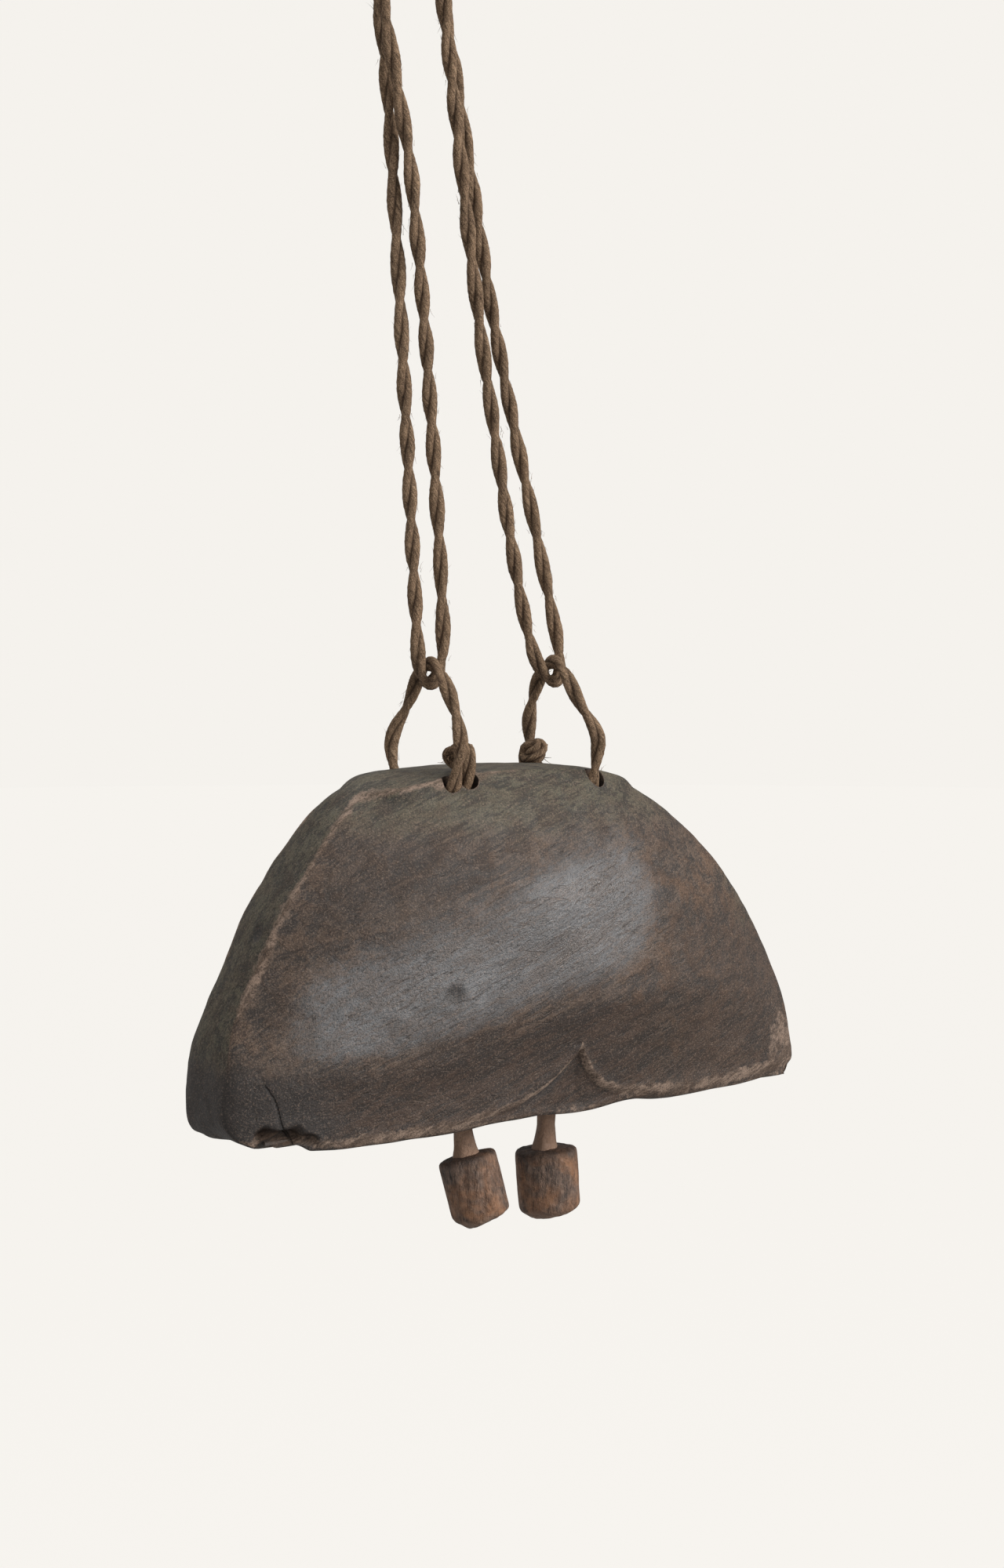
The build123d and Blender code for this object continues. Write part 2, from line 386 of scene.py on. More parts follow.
def peg_cutter(name: str, start: Point, end: Point, radius: float, flare: float = 1.0) -> bpy.types.Object:
    """A round peg between two points in metres, to cut a hole with.

    Ring k of the peg is its centre line at share k, plus radius times (cos a, sin a) on its two
    sides; the radius grows by flare towards the start.

    Args:
        name: Name of the peg.
        start: Middle of its wider end.
        end: Middle of its other end.
        radius: Radius in metres.
        flare: How many times wider the start is.

    Returns:
        The peg.
    """
    stations = 13
    path = np.linspace(start, end, stations)
    _, side, other = carried_frames(path)
    angle = np.linspace(0.0, 2.0 * math.pi, 28, endpoint=False)
    grow = (1.0 + (flare - 1.0) * np.linspace(1.0, 0.0, stations) ** 2)[:, None, None] * radius
    wobble = 1.0 + 0.05 * np.sin(3 * angle + 1.0)[None, :, None]
    rings = path[:, None] + circles(side, other, angle) * grow * wobble
    maker = MeshMaker()
    # The peg's faces are marked as inside, so the walls of the holes it cuts are darkened as painted shade.
    maker.add_tube(rings, inside=np.ones(rings.shape[:2]))
    return maker.build(name, merge=1e-7)


# ---------------------------------------------------------------------------
# Shader graphs
# ---------------------------------------------------------------------------


class Graph:
    """A short way to place nodes in a material or a node group and to link them."""

    def __init__(self, tree: bpy.types.NodeTree) -> None:
        """Work on this node tree."""
        self.tree = tree
        self.column = 0

    def node(self, kind: str, inputs: dict[str | int, object] | None = None, **settings: object) -> bpy.types.Node:
        """Place a node.

        Args:
            kind: Node type without its ShaderNode prefix.
            inputs: Socket name or number to a plain value, or to an output socket to link from.
            settings: Properties of the node itself.

        Returns:
            The node.
        """
        made = self.tree.nodes.new(f"ShaderNode{kind}")
        self.column += 1
        made.location = (180 * (self.column % 12), -220 * (self.column // 12))
        for name, value in settings.items():
            setattr(made, name, value)
        self.feed(made, inputs or {})
        return made

    def feed(self, node: bpy.types.Node, inputs: dict[str | int, object]) -> None:
        """Give a node its inputs: an output socket is linked, and anything else is a plain value.

        Args:
            node: The node to feed.
            inputs: Socket name or number to its value or source.
        """
        for name, value in inputs.items():
            if isinstance(value, bpy.types.NodeSocket):
                self.tree.links.new(value, node.inputs[name])
            else:
                node.inputs[name].default_value = value

    def math(self, operation: str, *values: object, clamp: bool = False) -> bpy.types.NodeSocket:
        """The result of a Math node on numbers or sockets."""
        return self.node("Math", dict(enumerate(values)), operation=operation, use_clamp=clamp).outputs[0]

    def band(
        self, value: object, low: float, high: float, to_low: float = 0.0, to_high: float = 1.0
    ) -> bpy.types.NodeSocket:
        """A value remapped with a smooth step, as a socket."""
        inputs = {"Value": value, "From Min": low, "From Max": high, "To Min": to_low, "To Max": to_high}
        return self.node("MapRange", inputs, interpolation_type="SMOOTHSTEP").outputs["Result"]

    def noise(
        self, vector: object, scale: float, detail: float = 3.0, rough: float = 0.55, warp: float = 0.0
    ) -> bpy.types.NodeSocket:
        """Noise values about one half, as a socket."""
        inputs = {"Vector": vector, "Scale": scale, "Detail": detail, "Roughness": rough, "Distortion": warp}
        return self.node("TexNoise", inputs).outputs["Fac"]

    def mix(self, share: object, first: object, second: object) -> bpy.types.NodeSocket:
        """Two colours mixed by a share, as a socket."""
        inputs = {0: share, 6: first, 7: second}
        return self.node("Mix", inputs, data_type="RGBA", blend_type="MIX", clamp_factor=True).outputs[2]

    def glaze(self, under: object, colour: object, mask: object, amount: float) -> bpy.types.NodeSocket:
        """A colour laid over another where a mask shows, by that amount of it, as a socket."""
        return self.mix(self.math("MULTIPLY", mask, amount), under, colour)

    def attribute(self, name: str, output: str = "Fac") -> bpy.types.NodeSocket:
        """A value stored at the mesh's points, as a socket."""
        return self.node("Attribute", attribute_name=name).outputs[output]

    def group(self, tree: bpy.types.NodeTree, inputs: dict[str, object]) -> bpy.types.Node:
        """Place a node group with its own values."""
        return self.node("Group", inputs, node_tree=tree)


def tone(red: int, green: int, blue: int) -> Colour:
    """A display colour of 0 to 255 as linear light."""
    parts = [value / 255.0 for value in (red, green, blue)]
    linear = [p / 12.92 if p <= 0.04045 else ((p + 0.055) / 1.055) ** 2.4 for p in parts]
    return (*linear, 1.0)


def open_group(
    name: str, inputs: dict[str, float | None], outputs: tuple[str, ...]
) -> tuple[bpy.types.NodeTree, Graph, bpy.types.Node, bpy.types.Node]:
    """Make an empty node group.

    Args:
        name: Name of the group.
        inputs: Socket name to its default number, or to None for a vector socket.
        outputs: Names of the values that it puts out.

    Returns:
        The group's tree, a Graph on it, its input node and its output node.
    """
    tree = bpy.data.node_groups.new(name, "ShaderNodeTree")
    for title, value in inputs.items():
        kind = "NodeSocketVector" if value is None else "NodeSocketFloat"
        socket = tree.interface.new_socket(name=title, in_out="INPUT", socket_type=kind)
        if value is not None:
            socket.default_value = value
    for title in outputs:
        tree.interface.new_socket(name=title, in_out="OUTPUT", socket_type="NodeSocketFloat")
    return tree, Graph(tree), tree.nodes.new("NodeGroupInput"), tree.nodes.new("NodeGroupOutput")


def wood_grain_group() -> bpy.types.NodeTree:
    """Grain of old wood: noise drawn out along X of its vector, at three widths, and long open pores.

    Returns:
        The group, with Lines, Pores and Relief.
    """
    inputs = {"Vector": None, "Fineness": 1.0, "Pore share": 0.3}
    tree, g, start, end = open_group("wood_grain", inputs, ("Lines", "Pores", "Relief"))
    wide = g.node("VectorMath", {0: start.outputs["Vector"], 1: (40.0, 260.0, 260.0)}, operation="MULTIPLY")
    scaled = g.node("VectorMath", {0: wide.outputs[0], "Scale": start.outputs["Fineness"]}, operation="SCALE")
    broad = g.noise(scaled.outputs[0], 0.7, 4.0, 0.6, 0.35)
    fine = g.noise(scaled.outputs[0], 3.1, 3.0, 0.6, 0.2)
    hair = g.noise(scaled.outputs[0], 8.0, 2.0, 0.5)
    lines = g.math("ADD", g.math("MULTIPLY", broad, 0.5), g.math("MULTIPLY", fine, 0.5))
    deep = g.band(g.noise(scaled.outputs[0], 2.2, 2.0, 0.5, 0.1), 0.60, 0.72)
    pores = g.math("MULTIPLY", deep, start.outputs["Pore share"])
    relief = g.math("ADD", g.math("MULTIPLY", lines, 0.7), g.math("MULTIPLY", hair, 0.3))
    relief = g.math("SUBTRACT", relief, g.math("MULTIPLY", pores, 0.6))
    g.feed(end, {"Lines": lines, "Pores": pores, "Relief": relief})
    return tree


def mottling_group() -> bpy.types.NodeTree:
    """Uneven tone of handled things: cloudy patches, small blotches and fine specks.

    Returns:
        The group, with Patches, Blotches and Specks.
    """
    tree, g, start, end = open_group("mottling", {"Vector": None, "Size": 1.0}, ("Patches", "Blotches", "Specks"))
    inputs = {0: start.outputs["Vector"], "Scale": start.outputs["Size"]}
    scaled = g.node("VectorMath", inputs, operation="SCALE")
    patches = g.band(g.noise(scaled.outputs[0], 28.0, 4.0, 0.6, 0.6), 0.36, 0.64)
    blotches = g.band(g.noise(scaled.outputs[0], 115.0, 4.0, 0.62, 0.4), 0.40, 0.64)
    specks = g.band(g.noise(scaled.outputs[0], 620.0, 3.0, 0.6), 0.58, 0.74)
    g.feed(end, {"Patches": patches, "Blotches": blotches, "Specks": specks})
    return tree


def scratches_group() -> bpy.types.NodeTree:
    """Fine pale scratches: noise drawn out along X and, turned a little, crossing it; only its peaks are kept.

    Returns:
        The group, with Scratches.
    """
    tree, g, start, end = open_group("scratches", {"Vector": None}, ("Scratches",))
    found = []
    for turn, seed in ((0.35, 0.0), (-0.5, 3.0)):
        place = {"Vector": start.outputs["Vector"], "Rotation": (0.0, turn, 0.0), "Location": (seed, 0.0, seed)}
        turned = g.node("Mapping", place)
        drawn = g.node("VectorMath", {0: turned.outputs[0], 1: (55.0, 1100.0, 1100.0)}, operation="MULTIPLY")
        found.append(g.band(g.noise(drawn.outputs[0], 1.0, 1.0, 0.4), 0.70, 0.76))
    g.feed(end, {"Scratches": g.math("MAXIMUM", *found)})
    return tree


def edge_wear_group() -> bpy.types.NodeTree:
    """Where an edge is rubbed bare: near to it, by a distance that noise varies.

    Returns:
        The group, with Wear.
    """
    inputs = {"Distance": 10.0, "Noise": 0.5, "Width": 1.6, "Raggedness": 3.0}
    tree, g, start, end = open_group("edge_wear", inputs, ("Wear",))
    shift = g.math("MULTIPLY", g.math("SUBTRACT", start.outputs["Noise"], 0.5), start.outputs["Raggedness"])
    near = g.math("ADD", g.math("ABSOLUTE", start.outputs["Distance"]), g.math("MULTIPLY", shift, -2.0))
    wear = g.math("SUBTRACT", 1.0, g.math("DIVIDE", near, start.outputs["Width"]), clamp=True)
    g.feed(end, {"Wear": g.band(wear, 0.0, 0.8)})
    return tree


class Groups:
    """The shared node groups, built once."""

    def __init__(self) -> None:
        """Build them."""
        self.grain = wood_grain_group()
        self.mottling = mottling_group()
        self.edge_wear = edge_wear_group()
        self.scratches = scratches_group()


def new_material(name: str, roughness: float, specular: float) -> tuple[bpy.types.Material, Graph, bpy.types.Node]:
    """A material with one Principled shader.

    Returns:
        The material, a Graph on it and its shader node.
    """
    material = bpy.data.materials.new(name)
    material.use_nodes = True
    material.node_tree.nodes.clear()
    graph = Graph(material.node_tree)
    shader = graph.node("BsdfPrincipled", {"Roughness": roughness, "Specular IOR Level": specular})
    output = graph.node("OutputMaterial")
    material.node_tree.links.new(shader.outputs["BSDF"], output.inputs["Surface"])
    return material, graph, shader


# ---------------------------------------------------------------------------
# Finishes
# ---------------------------------------------------------------------------


@dataclass(frozen=True)
class BellWood:
    """Handled and smoke-dark wood: olive and dry on top, glossy on the face with a painted grey sheen, brown below
    and partly darkened by painted shade.
    """

    brown: Colour = tone(86, 70, 58)
    dark_brown: Colour = tone(40, 32, 27)
    olive: Colour = tone(80, 76, 60)
    dark_olive: Colour = tone(38, 36, 27)
    # Grey of the painted sheen on the face.
    sheen_grey: Colour = tone(102, 103, 105)
    # Near-black for the dark corner, knots and cracks, and for painted shade.
    char: Colour = tone(46, 43, 42)
    # Browner dark of the lower band, laid partly as painted shade.
    under: Colour = tone(62, 46, 36)
    bare: Colour = tone(150, 128, 112)
    rust: Colour = tone(100, 72, 50)
    # Darker brown laid inside the holes, the hollow and the rot, partly as painted shade.
    inner: Colour = tone(70, 52, 38)
    grain_tilt: float = 22.0

    def make(self, groups: Groups) -> bpy.types.Material:
        """Build the material.

        Args:
            groups: The shared node groups.

        Returns:
            The material.
        """
        material, g, shader = new_material("bell_wood", 0.6, 0.5)
        place = g.node("TexCoord").outputs["Object"]
        centred = g.node("Mapping", {"Vector": place, "Location": (-BELL_X * MM, 0.0, -RIM_Z * MM)})
        grain_way = g.node(
            "Mapping", {"Vector": centred.outputs[0], "Rotation": (0.0, math.radians(self.grain_tilt), 0.0)}
        )
        grain = g.group(groups.grain, {"Vector": grain_way.outputs[0], "Fineness": 1.0, "Pore share": 0.5})
        patchy = g.group(groups.mottling, {"Vector": centred.outputs[0], "Size": 1.0})
        lines, pores = grain.outputs["Lines"], grain.outputs["Pores"]
        patches, blotches, specks = (patchy.outputs[name] for name in ("Patches", "Blotches", "Specks"))
        ragged = g.noise(centred.outputs[0], 170.0, 4.0, 0.65)

        def region(title: str, low: float = 0.35, high: float = 0.65) -> bpy.types.NodeSocket:
            """One painted region with a ragged border."""
            shifted = g.math("ADD", g.attribute(title), g.math("MULTIPLY", g.math("SUBTRACT", ragged, 0.5), 0.55))
            return g.band(shifted, low, high)

        streak = g.band(lines, 0.43, 0.57)
        tooth = g.noise(centred.outputs[0], 1500.0, 3.0, 0.7)
        base = g.mix(streak, self.dark_brown, self.brown)
        glow = g.band(g.attribute("warm"), 0.0, 1.0, 0.20, 0.55)
        base = g.mix(g.math("MULTIPLY", blotches, glow), base, self.rust)
        base = g.glaze(base, self.dark_brown, patches, 0.5)
        # Painted sheen: a grey highlight laid on the face where the gloss mask shows, streaked and patched with
        # brown.
        sheen_grey = g.glaze(self.sheen_grey, self.brown, streak, 0.45)
        sheen_grey = g.glaze(sheen_grey, self.dark_brown, g.math("ADD", patches, pores), 0.3)
        base = g.mix(region("polish", 0.2, 0.8), base, sheen_grey)
        # The lower band and the lower right turn a browner dark: partly the wood's own tone, partly painted shade
        # where the face turns down.
        base = g.glaze(base, g.mix(streak, self.dark_brown, self.under), region("under", 0.25, 0.75), 0.8)
        olive = g.mix(streak, self.dark_olive, self.olive)
        olive = g.glaze(olive, self.brown, blotches, 0.25)
        base = g.glaze(base, olive, region("olive", 0.2, 0.75), 0.92)
        # Near-black: the lower-left corner and the knots, plus painted shade in a strip under the left bow of the
        # lip.
        base = g.glaze(base, self.char, region("char", 0.2, 0.8), 0.85)
        base = g.glaze(base, self.dark_brown, pores, 0.8)
        wear = g.group(
            groups.edge_wear,
            {"Distance": g.attribute("edge_mm"), "Noise": ragged, "Width": 2.8, "Raggedness": 5.0},
        ).outputs["Wear"]
        bare = g.mix(streak, self.bare, self.brown)
        base = g.glaze(base, bare, wear, 0.75)
        base = g.glaze(base, self.bare, specks, 0.14)
        scratch = g.group(groups.scratches, {"Vector": grain_way.outputs[0]}).outputs["Scratches"]
        base = g.glaze(base, self.bare, scratch, 0.16)
        base = g.mix(g.band(tooth, 0.50, 0.74, 0.0, 0.44), base, self.bare)
        base = g.mix(g.band(tooth, 0.32, 0.50, 0.8, 0.0), base, self.dark_brown)
        groove = g.band(g.math("ABSOLUTE", g.attribute("groove_mm")), 0.15, 0.65, 1.0, 0.0)
        base = g.glaze(base, self.char, groove, 0.85)
        # Inside the hollow, the cord holes and the rot the wood turns a darker inner brown: partly the wood's own
        # tone, partly painted shade in these recesses.
        base = g.mix(g.attribute("inside"), base, g.mix(streak, self.inner, self.dark_brown))
        rough = g.band(g.attribute("polish"), 0.0, 1.3, 0.64, 0.32)
        rough = g.math("ADD", rough, g.math("MULTIPLY", g.math("SUBTRACT", blotches, 0.5), 0.14))
        rough = g.math("ADD", rough, g.math("MULTIPLY", wear, 0.15), clamp=True)
        height = g.math("ADD", g.math("MULTIPLY", grain.outputs["Relief"], 0.55), g.math("MULTIPLY", blotches, 0.18))
        height = g.math("ADD", height, g.math("MULTIPLY", tooth, 0.30))
        height = g.math("SUBTRACT", height, g.math("MULTIPLY", scratch, 0.25))
        height = g.math("SUBTRACT", height, g.math("MULTIPLY", groove, 1.5))
        bump = g.node("Bump", {"Height": height, "Strength": 0.9, "Distance": 0.0010})
        g.feed(shader, {"Base Color": base, "Roughness": rough, "Normal": bump.outputs[0]})
        return material


@dataclass(frozen=True)
class ClapperWood:
    """Whittled branch wood: bark-dark skin, worn orange-brown patches, pale fresh knife cuts."""

    skin: Colour = tone(128, 106, 92)
    dark: Colour = tone(54, 45, 41)
    worn: Colour = tone(160, 112, 76)
    fresh: Colour = tone(180, 148, 126)

    def make(self, groups: Groups) -> bpy.types.Material:
        """Build the material.

        Args:
            groups: The shared node groups.

        Returns:
            The material.
        """
        material, g, shader = new_material("clapper_wood", 0.7, 0.4)
        place = g.node("TexCoord").outputs["Object"]
        upright = g.node("Mapping", {"Vector": place, "Rotation": (0.0, math.radians(90.0), 0.0)})
        grain = g.group(groups.grain, {"Vector": upright.outputs[0], "Fineness": 2.2, "Pore share": 0.6})
        patchy = g.group(groups.mottling, {"Vector": place, "Size": 2.6})
        streak = g.band(grain.outputs["Lines"], 0.36, 0.62)
        base = g.mix(streak, self.dark, self.skin)
        base = g.glaze(base, self.worn, patchy.outputs["Patches"], 0.55)
        base = g.glaze(base, self.dark, patchy.outputs["Blotches"], 0.4)
        base = g.glaze(base, self.fresh, patchy.outputs["Specks"], 0.35)
        base = g.glaze(base, self.dark, grain.outputs["Pores"], 0.8)
        base = g.glaze(base, self.fresh, g.attribute("fresh"), 0.8)
        base = g.glaze(base, self.dark, g.attribute("shade"), 0.7)
        height = g.math("ADD", grain.outputs["Relief"], g.math("MULTIPLY", patchy.outputs["Blotches"], 0.5))
        bump = g.node("Bump", {"Height": height, "Strength": 0.7, "Distance": 0.0007})
        rough = g.band(patchy.outputs["Blotches"], 0.0, 1.0, 0.60, 0.78)
        g.feed(shader, {"Base Color": base, "Roughness": rough, "Normal": bump.outputs[0]})
        return material


@dataclass(frozen=True)
class FibreCord:
    """Hand-laid plant fibre: brown-grey strands of fine twisted fibres, paler where they stand proud."""

    light: Colour = tone(190, 162, 132)
    middle: Colour = tone(132, 107, 84)
    dark: Colour = tone(62, 49, 38)

    def make(self, groups: Groups) -> bpy.types.Material:
        """Build the material; the fibre_way attribute winds round each strand with its twist.

        Args:
            groups: The shared node groups.

        Returns:
            The material.
        """
        material, g, shader = new_material("cord", 0.85, 0.25)
        way = g.attribute("fibre_way", "Vector")
        place = g.node("TexCoord").outputs["Object"]
        coarse = g.noise(way, 1.5, 3.0, 0.6, 0.2)
        fine = g.noise(way, 5.5, 3.0, 0.65)
        strands = g.math("ADD", g.math("MULTIPLY", coarse, 0.5), g.math("MULTIPLY", fine, 0.5))
        patchy = g.group(groups.mottling, {"Vector": place, "Size": 1.6})
        base = g.mix(g.band(strands, 0.36, 0.52), self.dark, self.middle)
        base = g.mix(g.band(strands, 0.50, 0.68), base, self.light)
        base = g.glaze(base, self.dark, patchy.outputs["Patches"], 0.3)
        base = g.glaze(base, self.light, patchy.outputs["Specks"], 0.25)
        speckle = g.noise(place, 2300.0, 2.0, 0.6)
        base = g.mix(g.band(speckle, 0.36, 0.52, 0.6, 0.0), base, self.dark)
        base = g.mix(g.band(speckle, 0.54, 0.70, 0.0, 0.5), base, self.light)
        # Painted shade where the two strands press together.
        base = g.glaze(base, self.dark, g.attribute("crease"), 0.75)
        bump = g.node("Bump", {"Height": strands, "Strength": 1.0, "Distance": 0.0008})
        g.feed(shader, {"Base Color": base, "Normal": bump.outputs[0]})
        return material


# ---------------------------------------------------------------------------
# Bell body
# ---------------------------------------------------------------------------


@dataclass
class BellBody:
    """The half-moon block: two bowed faces, a flat band over the arch, a hollow open below."""

    half_length: float = 136.0
    crown: float = 134.0
    side: Pair = (128.5, 42.0)
    arch_middle: Pair = (102.5, 89.0)
    shoulder: Pair = (58.0, 126.0)
    foot_radius: Pair = (13.0, 12.0)
    middle_depth: Stations = (
        (-10, 37.5), (0, 39.0), (20, 41.5), (45, 43.0), (82, 40.5), (108, 34.5), (120, 29.5), (128, 23.5),
        (134, 16.5), (150, 10.0),
    )
    ridge_depth: Stations = (
        (-10, 14.0), (15, 16.0), (30, 14.5), (45, 11.4), (60, 11.4), (75, 13.2), (90, 14.0), (105, 13.2),
        (115, 12.6), (125, 12.2), (134, 12.0), (150, 10.0),
    )
    fullness: Stations = ((-10, 3.0), (45, 2.9), (90, 2.2), (118, 2.5), (134, 3.0), (150, 3.0))
    boat_reach: Pair = (139.0, 141.0)
    boat_power: Pair = (2.6, 3.5)
    hollow: Route = ((-7.0, 119.0, 28.5), (45.0, 110.0, 31.0), (88.0, 86.0, 25.5), (112.0, 56.0, 17.0))
    hollow_top: float = 112.0
    rim_round: float = 3.0
    lip_point: float = 11.6
    knot_place: Pair = (-48.0, 52.0)
    band_knot: Pair = (-5.4, 76.7)
    rot_place: Pair = (-114.0, 3.5)
    columns: int = 360
    front_rows: int = 88
    band_rows: int = 34
    back_rows: int = 46

    def outline(self) -> np.ndarray:
        """The arch from the left foot over the crown to the right foot, in even steps.

        Each half is a round foot, a flank and half of the top, all arcs; the whole is then averaged
        along its length with bell-curve weights.

        Returns:
            The points, as (columns, 2).
        """
        away = np.array([self.side[0] - self.half_length, self.side[1]])
        away = away / np.linalg.norm(away)
        flank = arc_through(self.side, self.arch_middle, self.shoulder, 40)
        left = self.shoulder[0]
        top = arc_through(self.shoulder, (0.0, self.crown), (-left, self.shoulder[1]), 40)
        halves = []
        for radius in self.foot_radius:
            reach = radius / math.tan(math.acos(-away[0]) / 2.0)
            swing = np.linspace(-math.pi / 2.0, math.atan2(-away[0], away[1]), 14)
            foot = np.stack(
                [self.half_length - reach + radius * np.cos(swing), radius + radius * np.sin(swing)], axis=-1
            )
            flank_above = flank[flank[:, 1] > foot[-1, 1] + 1.0]
            halves.append(np.concatenate([foot, flank_above, top[: len(top) // 2 + 1]]))
        whole = np.concatenate([halves[0] * (-1.0, 1.0), halves[1][::-1]])
        even = even_steps(whole, 0.5)
        reach = 16
        kernel = hump(np.arange(-reach, reach + 1), 0.0, 6.0)
        kernel /= kernel.sum()
        padded = np.concatenate([even[:1].repeat(reach, 0), even, even[-1:].repeat(reach, 0)])
        smooth = np.stack([np.convolve(padded[:, axis], kernel, "valid") for axis in (0, 1)], axis=-1)
        marks = np.linspace(0, len(smooth) - 1, self.columns)
        return np.stack([np.interp(marks, np.arange(len(smooth)), smooth[:, axis]) for axis in (0, 1)], axis=-1)

    def half_width(self, height: np.ndarray) -> np.ndarray:
        """Half length of the arch at a height: 136 times the root of 1 minus (height over 134) to the 2.15."""
        share = np.clip(height / self.crown, 0.0, 1.0)
        return self.half_length * np.sqrt(1.0 - share**2.15)

    def depth(self, x: np.ndarray, height: np.ndarray) -> np.ndarray:
        """Half depth of the block at a place on its face.

        The face is the middle depth minus a power of x over its reach, which brings it to the
        ridge's depth at the arch; towards the rim it becomes a full rounded boat shape.

        Args:
            x: Places along the block.
            height: Their heights.

        Returns:
            One half depth for each.
        """
        middle = through_stations(self.middle_depth, height, 4.0)
        ridge = through_stations(self.ridge_depth, height, 5.0)
        power = through_stations(self.fullness, height, 10.0)
        width = np.maximum(self.half_width(height), self.shoulder[0])
        reach = ((self.half_width(height) + 9.0) ** 8 + self.shoulder[0] ** 8) ** 0.125
        edge = (width / reach) ** power
        face = middle - (middle - ridge) / edge * (np.abs(x) / reach) ** power
        boat = 38.0 + 3.0 * ease(-x, -10.0, 50.0) - 0.08 * np.maximum(x, 0.0)
        for way, reach_there, power_there in zip((-1.0, 1.0), self.boat_reach, self.boat_power):
            along = np.clip(way * x / reach_there, 0.0, 1.0)
            boat = boat * (1.0 - along**power_there) ** (1 / power_there)
        share = ease(height, 0.0, 46.0)
        return np.maximum(boat + (face - boat) * share, 3.0)

    def lip_height(self, x: np.ndarray) -> np.ndarray:
        """Height of the carved lip over the rim: a long bow and a short one that meet in a point.

        Each bow falls away from the point as e to the minus the distance over its own length.

        Args:
            x: Places along the block.

        Returns:
            One height for each.
        """
        left = 2.4 + 23.5 * np.exp(-np.clip(self.lip_point - x, 0.0, None) / 19.0)
        right = 3.6 + 22.3 * np.exp(-np.clip(x - self.lip_point, 0.0, None) / 9.5)
        right = right + 1.5 * ease(x, 70.0, 125.0)
        return np.where(x < self.lip_point, left, right)

    def soft_line(self, x: np.ndarray) -> np.ndarray:
        """Height of the soft edge above which the face is glossy and carries a painted sheen, and below which it is
        pared and darkened, partly by painted shade.
        """
        return 27.0 + 20.0 * ease(x, -80.0, 42.0)

    def settle(self, points: np.ndarray) -> np.ndarray:
        """Move the plain form's points to the real block's uneven outline.

        The block leans a little along X as it rises, its left flank is pinched under the shoulder,
        its right foot runs further out, the left of the rim hangs lower, and the crown is lumpy.

        Args:
            points: The plain form, in millimetres.

        Returns:
            The moved points.
        """
        x, y, z = points[..., 0], points[..., 1], points[..., 2]
        left, right = ease(-x, 40.0, 110.0), ease(x, 40.0, 115.0)
        shift = 2.0 - 7.6 * ease(z, -20.0, 140.0) + 3.0 * hump(z, 82.0, 30.0)
        shift += left * (2.8 * hump(z, 58.0, 14.0) - 3.2 * ease(z, 108.0, 128.0))
        shift += right * (4.4 * (1.0 - ease(z, 26.0, 92.0)) + 1.6 * (1.0 - ease(z, 4.0, 22.0)))
        low = 1.0 - ease(z, -2.0, 20.0)
        back_foot = 3.4 * ease(-x, 114.0, 134.0) * ease(y, -8.0, 8.0)
        drop = low * (2.0 * ease(-x, 20.0, 60.0) - 0.9 * ease(-x, 106.0, 128.0) + back_foot)
        lumps = 2.2 * hump(x, -80.0, 18.0) + 4.2 * hump(x, -58.0, 20.0) * ease(y, -18.0, 6.0)
        lift = (lumps + 1.9 * hump(x, 46.0, 19.0)) * ease(z, 92.0, 114.0)
        return points + np.stack([shift, np.zeros(x.shape), lift - drop], axis=-1)

    def wall(self) -> tuple[np.ndarray, np.ndarray, np.ndarray]:
        """The outside as a grid: along the arch, and from the front rim over the band to the back rim.

        Column u stands at the arch's point u and at the rim's point u below it. A row's share s
        runs along the straight line between them on the faces, with the face's depth in front or
        behind; on the band it runs straight across from ridge to ridge with a slight crown.

        Returns:
            Points (columns, rows, 3), each row's side (-1 front, 0 band, 1 back), and the distance
            of each point from the nearer ridge.
        """
        arch = self.outline()
        start, end = arch[0, 0], arch[-1, 0]
        rim = np.stack([np.linspace(start, end, self.columns), np.zeros(self.columns)], axis=-1)
        rises = []
        for count in (self.front_rows, self.back_rows):
            t = np.linspace(0.0, 1.0, count)
            rises.append(t - 0.10 * np.sin(2.0 * np.pi * t) / (2.0 * np.pi))
        front, back = (rim[:, None] + (arch - rim)[:, None] * rise[None, :, None] for rise in rises)
        across = np.linspace(-1.0, 1.0, self.band_rows + 2)[1:-1]
        edge = self.depth(arch[:, 0], arch[:, 1])
        band = np.broadcast_to(arch[:, None], (self.columns, self.band_rows, 2)).copy()
        outward = -unit(np.stack([np.gradient(arch[:, 1]), -np.gradient(arch[:, 0])], axis=-1))
        band += outward[:, None] * (1.2 * (1.0 - across**2) * ease(arch[:, 1], 5.0, 60.0)[:, None])[..., None]
        plane = np.concatenate([front, band, back[:, ::-1]], axis=1)
        y = np.concatenate([
            -self.depth(front[..., 0], front[..., 1]),
            across[None] * edge[:, None],
            self.depth(back[..., 0], back[..., 1])[:, ::-1],
        ], axis=1)
        points = np.stack([plane[..., 0], y, plane[..., 1]], axis=-1)
        side = np.concatenate([-np.ones(self.front_rows), np.zeros(self.band_rows), np.ones(self.back_rows)])
        ridge_front = points[:, self.front_rows - 1 : self.front_rows]
        ridge_back = points[:, self.front_rows + self.band_rows : self.front_rows + self.band_rows + 1]
        near = np.minimum(
            np.linalg.norm(points - ridge_front, axis=-1), np.linalg.norm(points - ridge_back, axis=-1)
        )
        return points, side, near

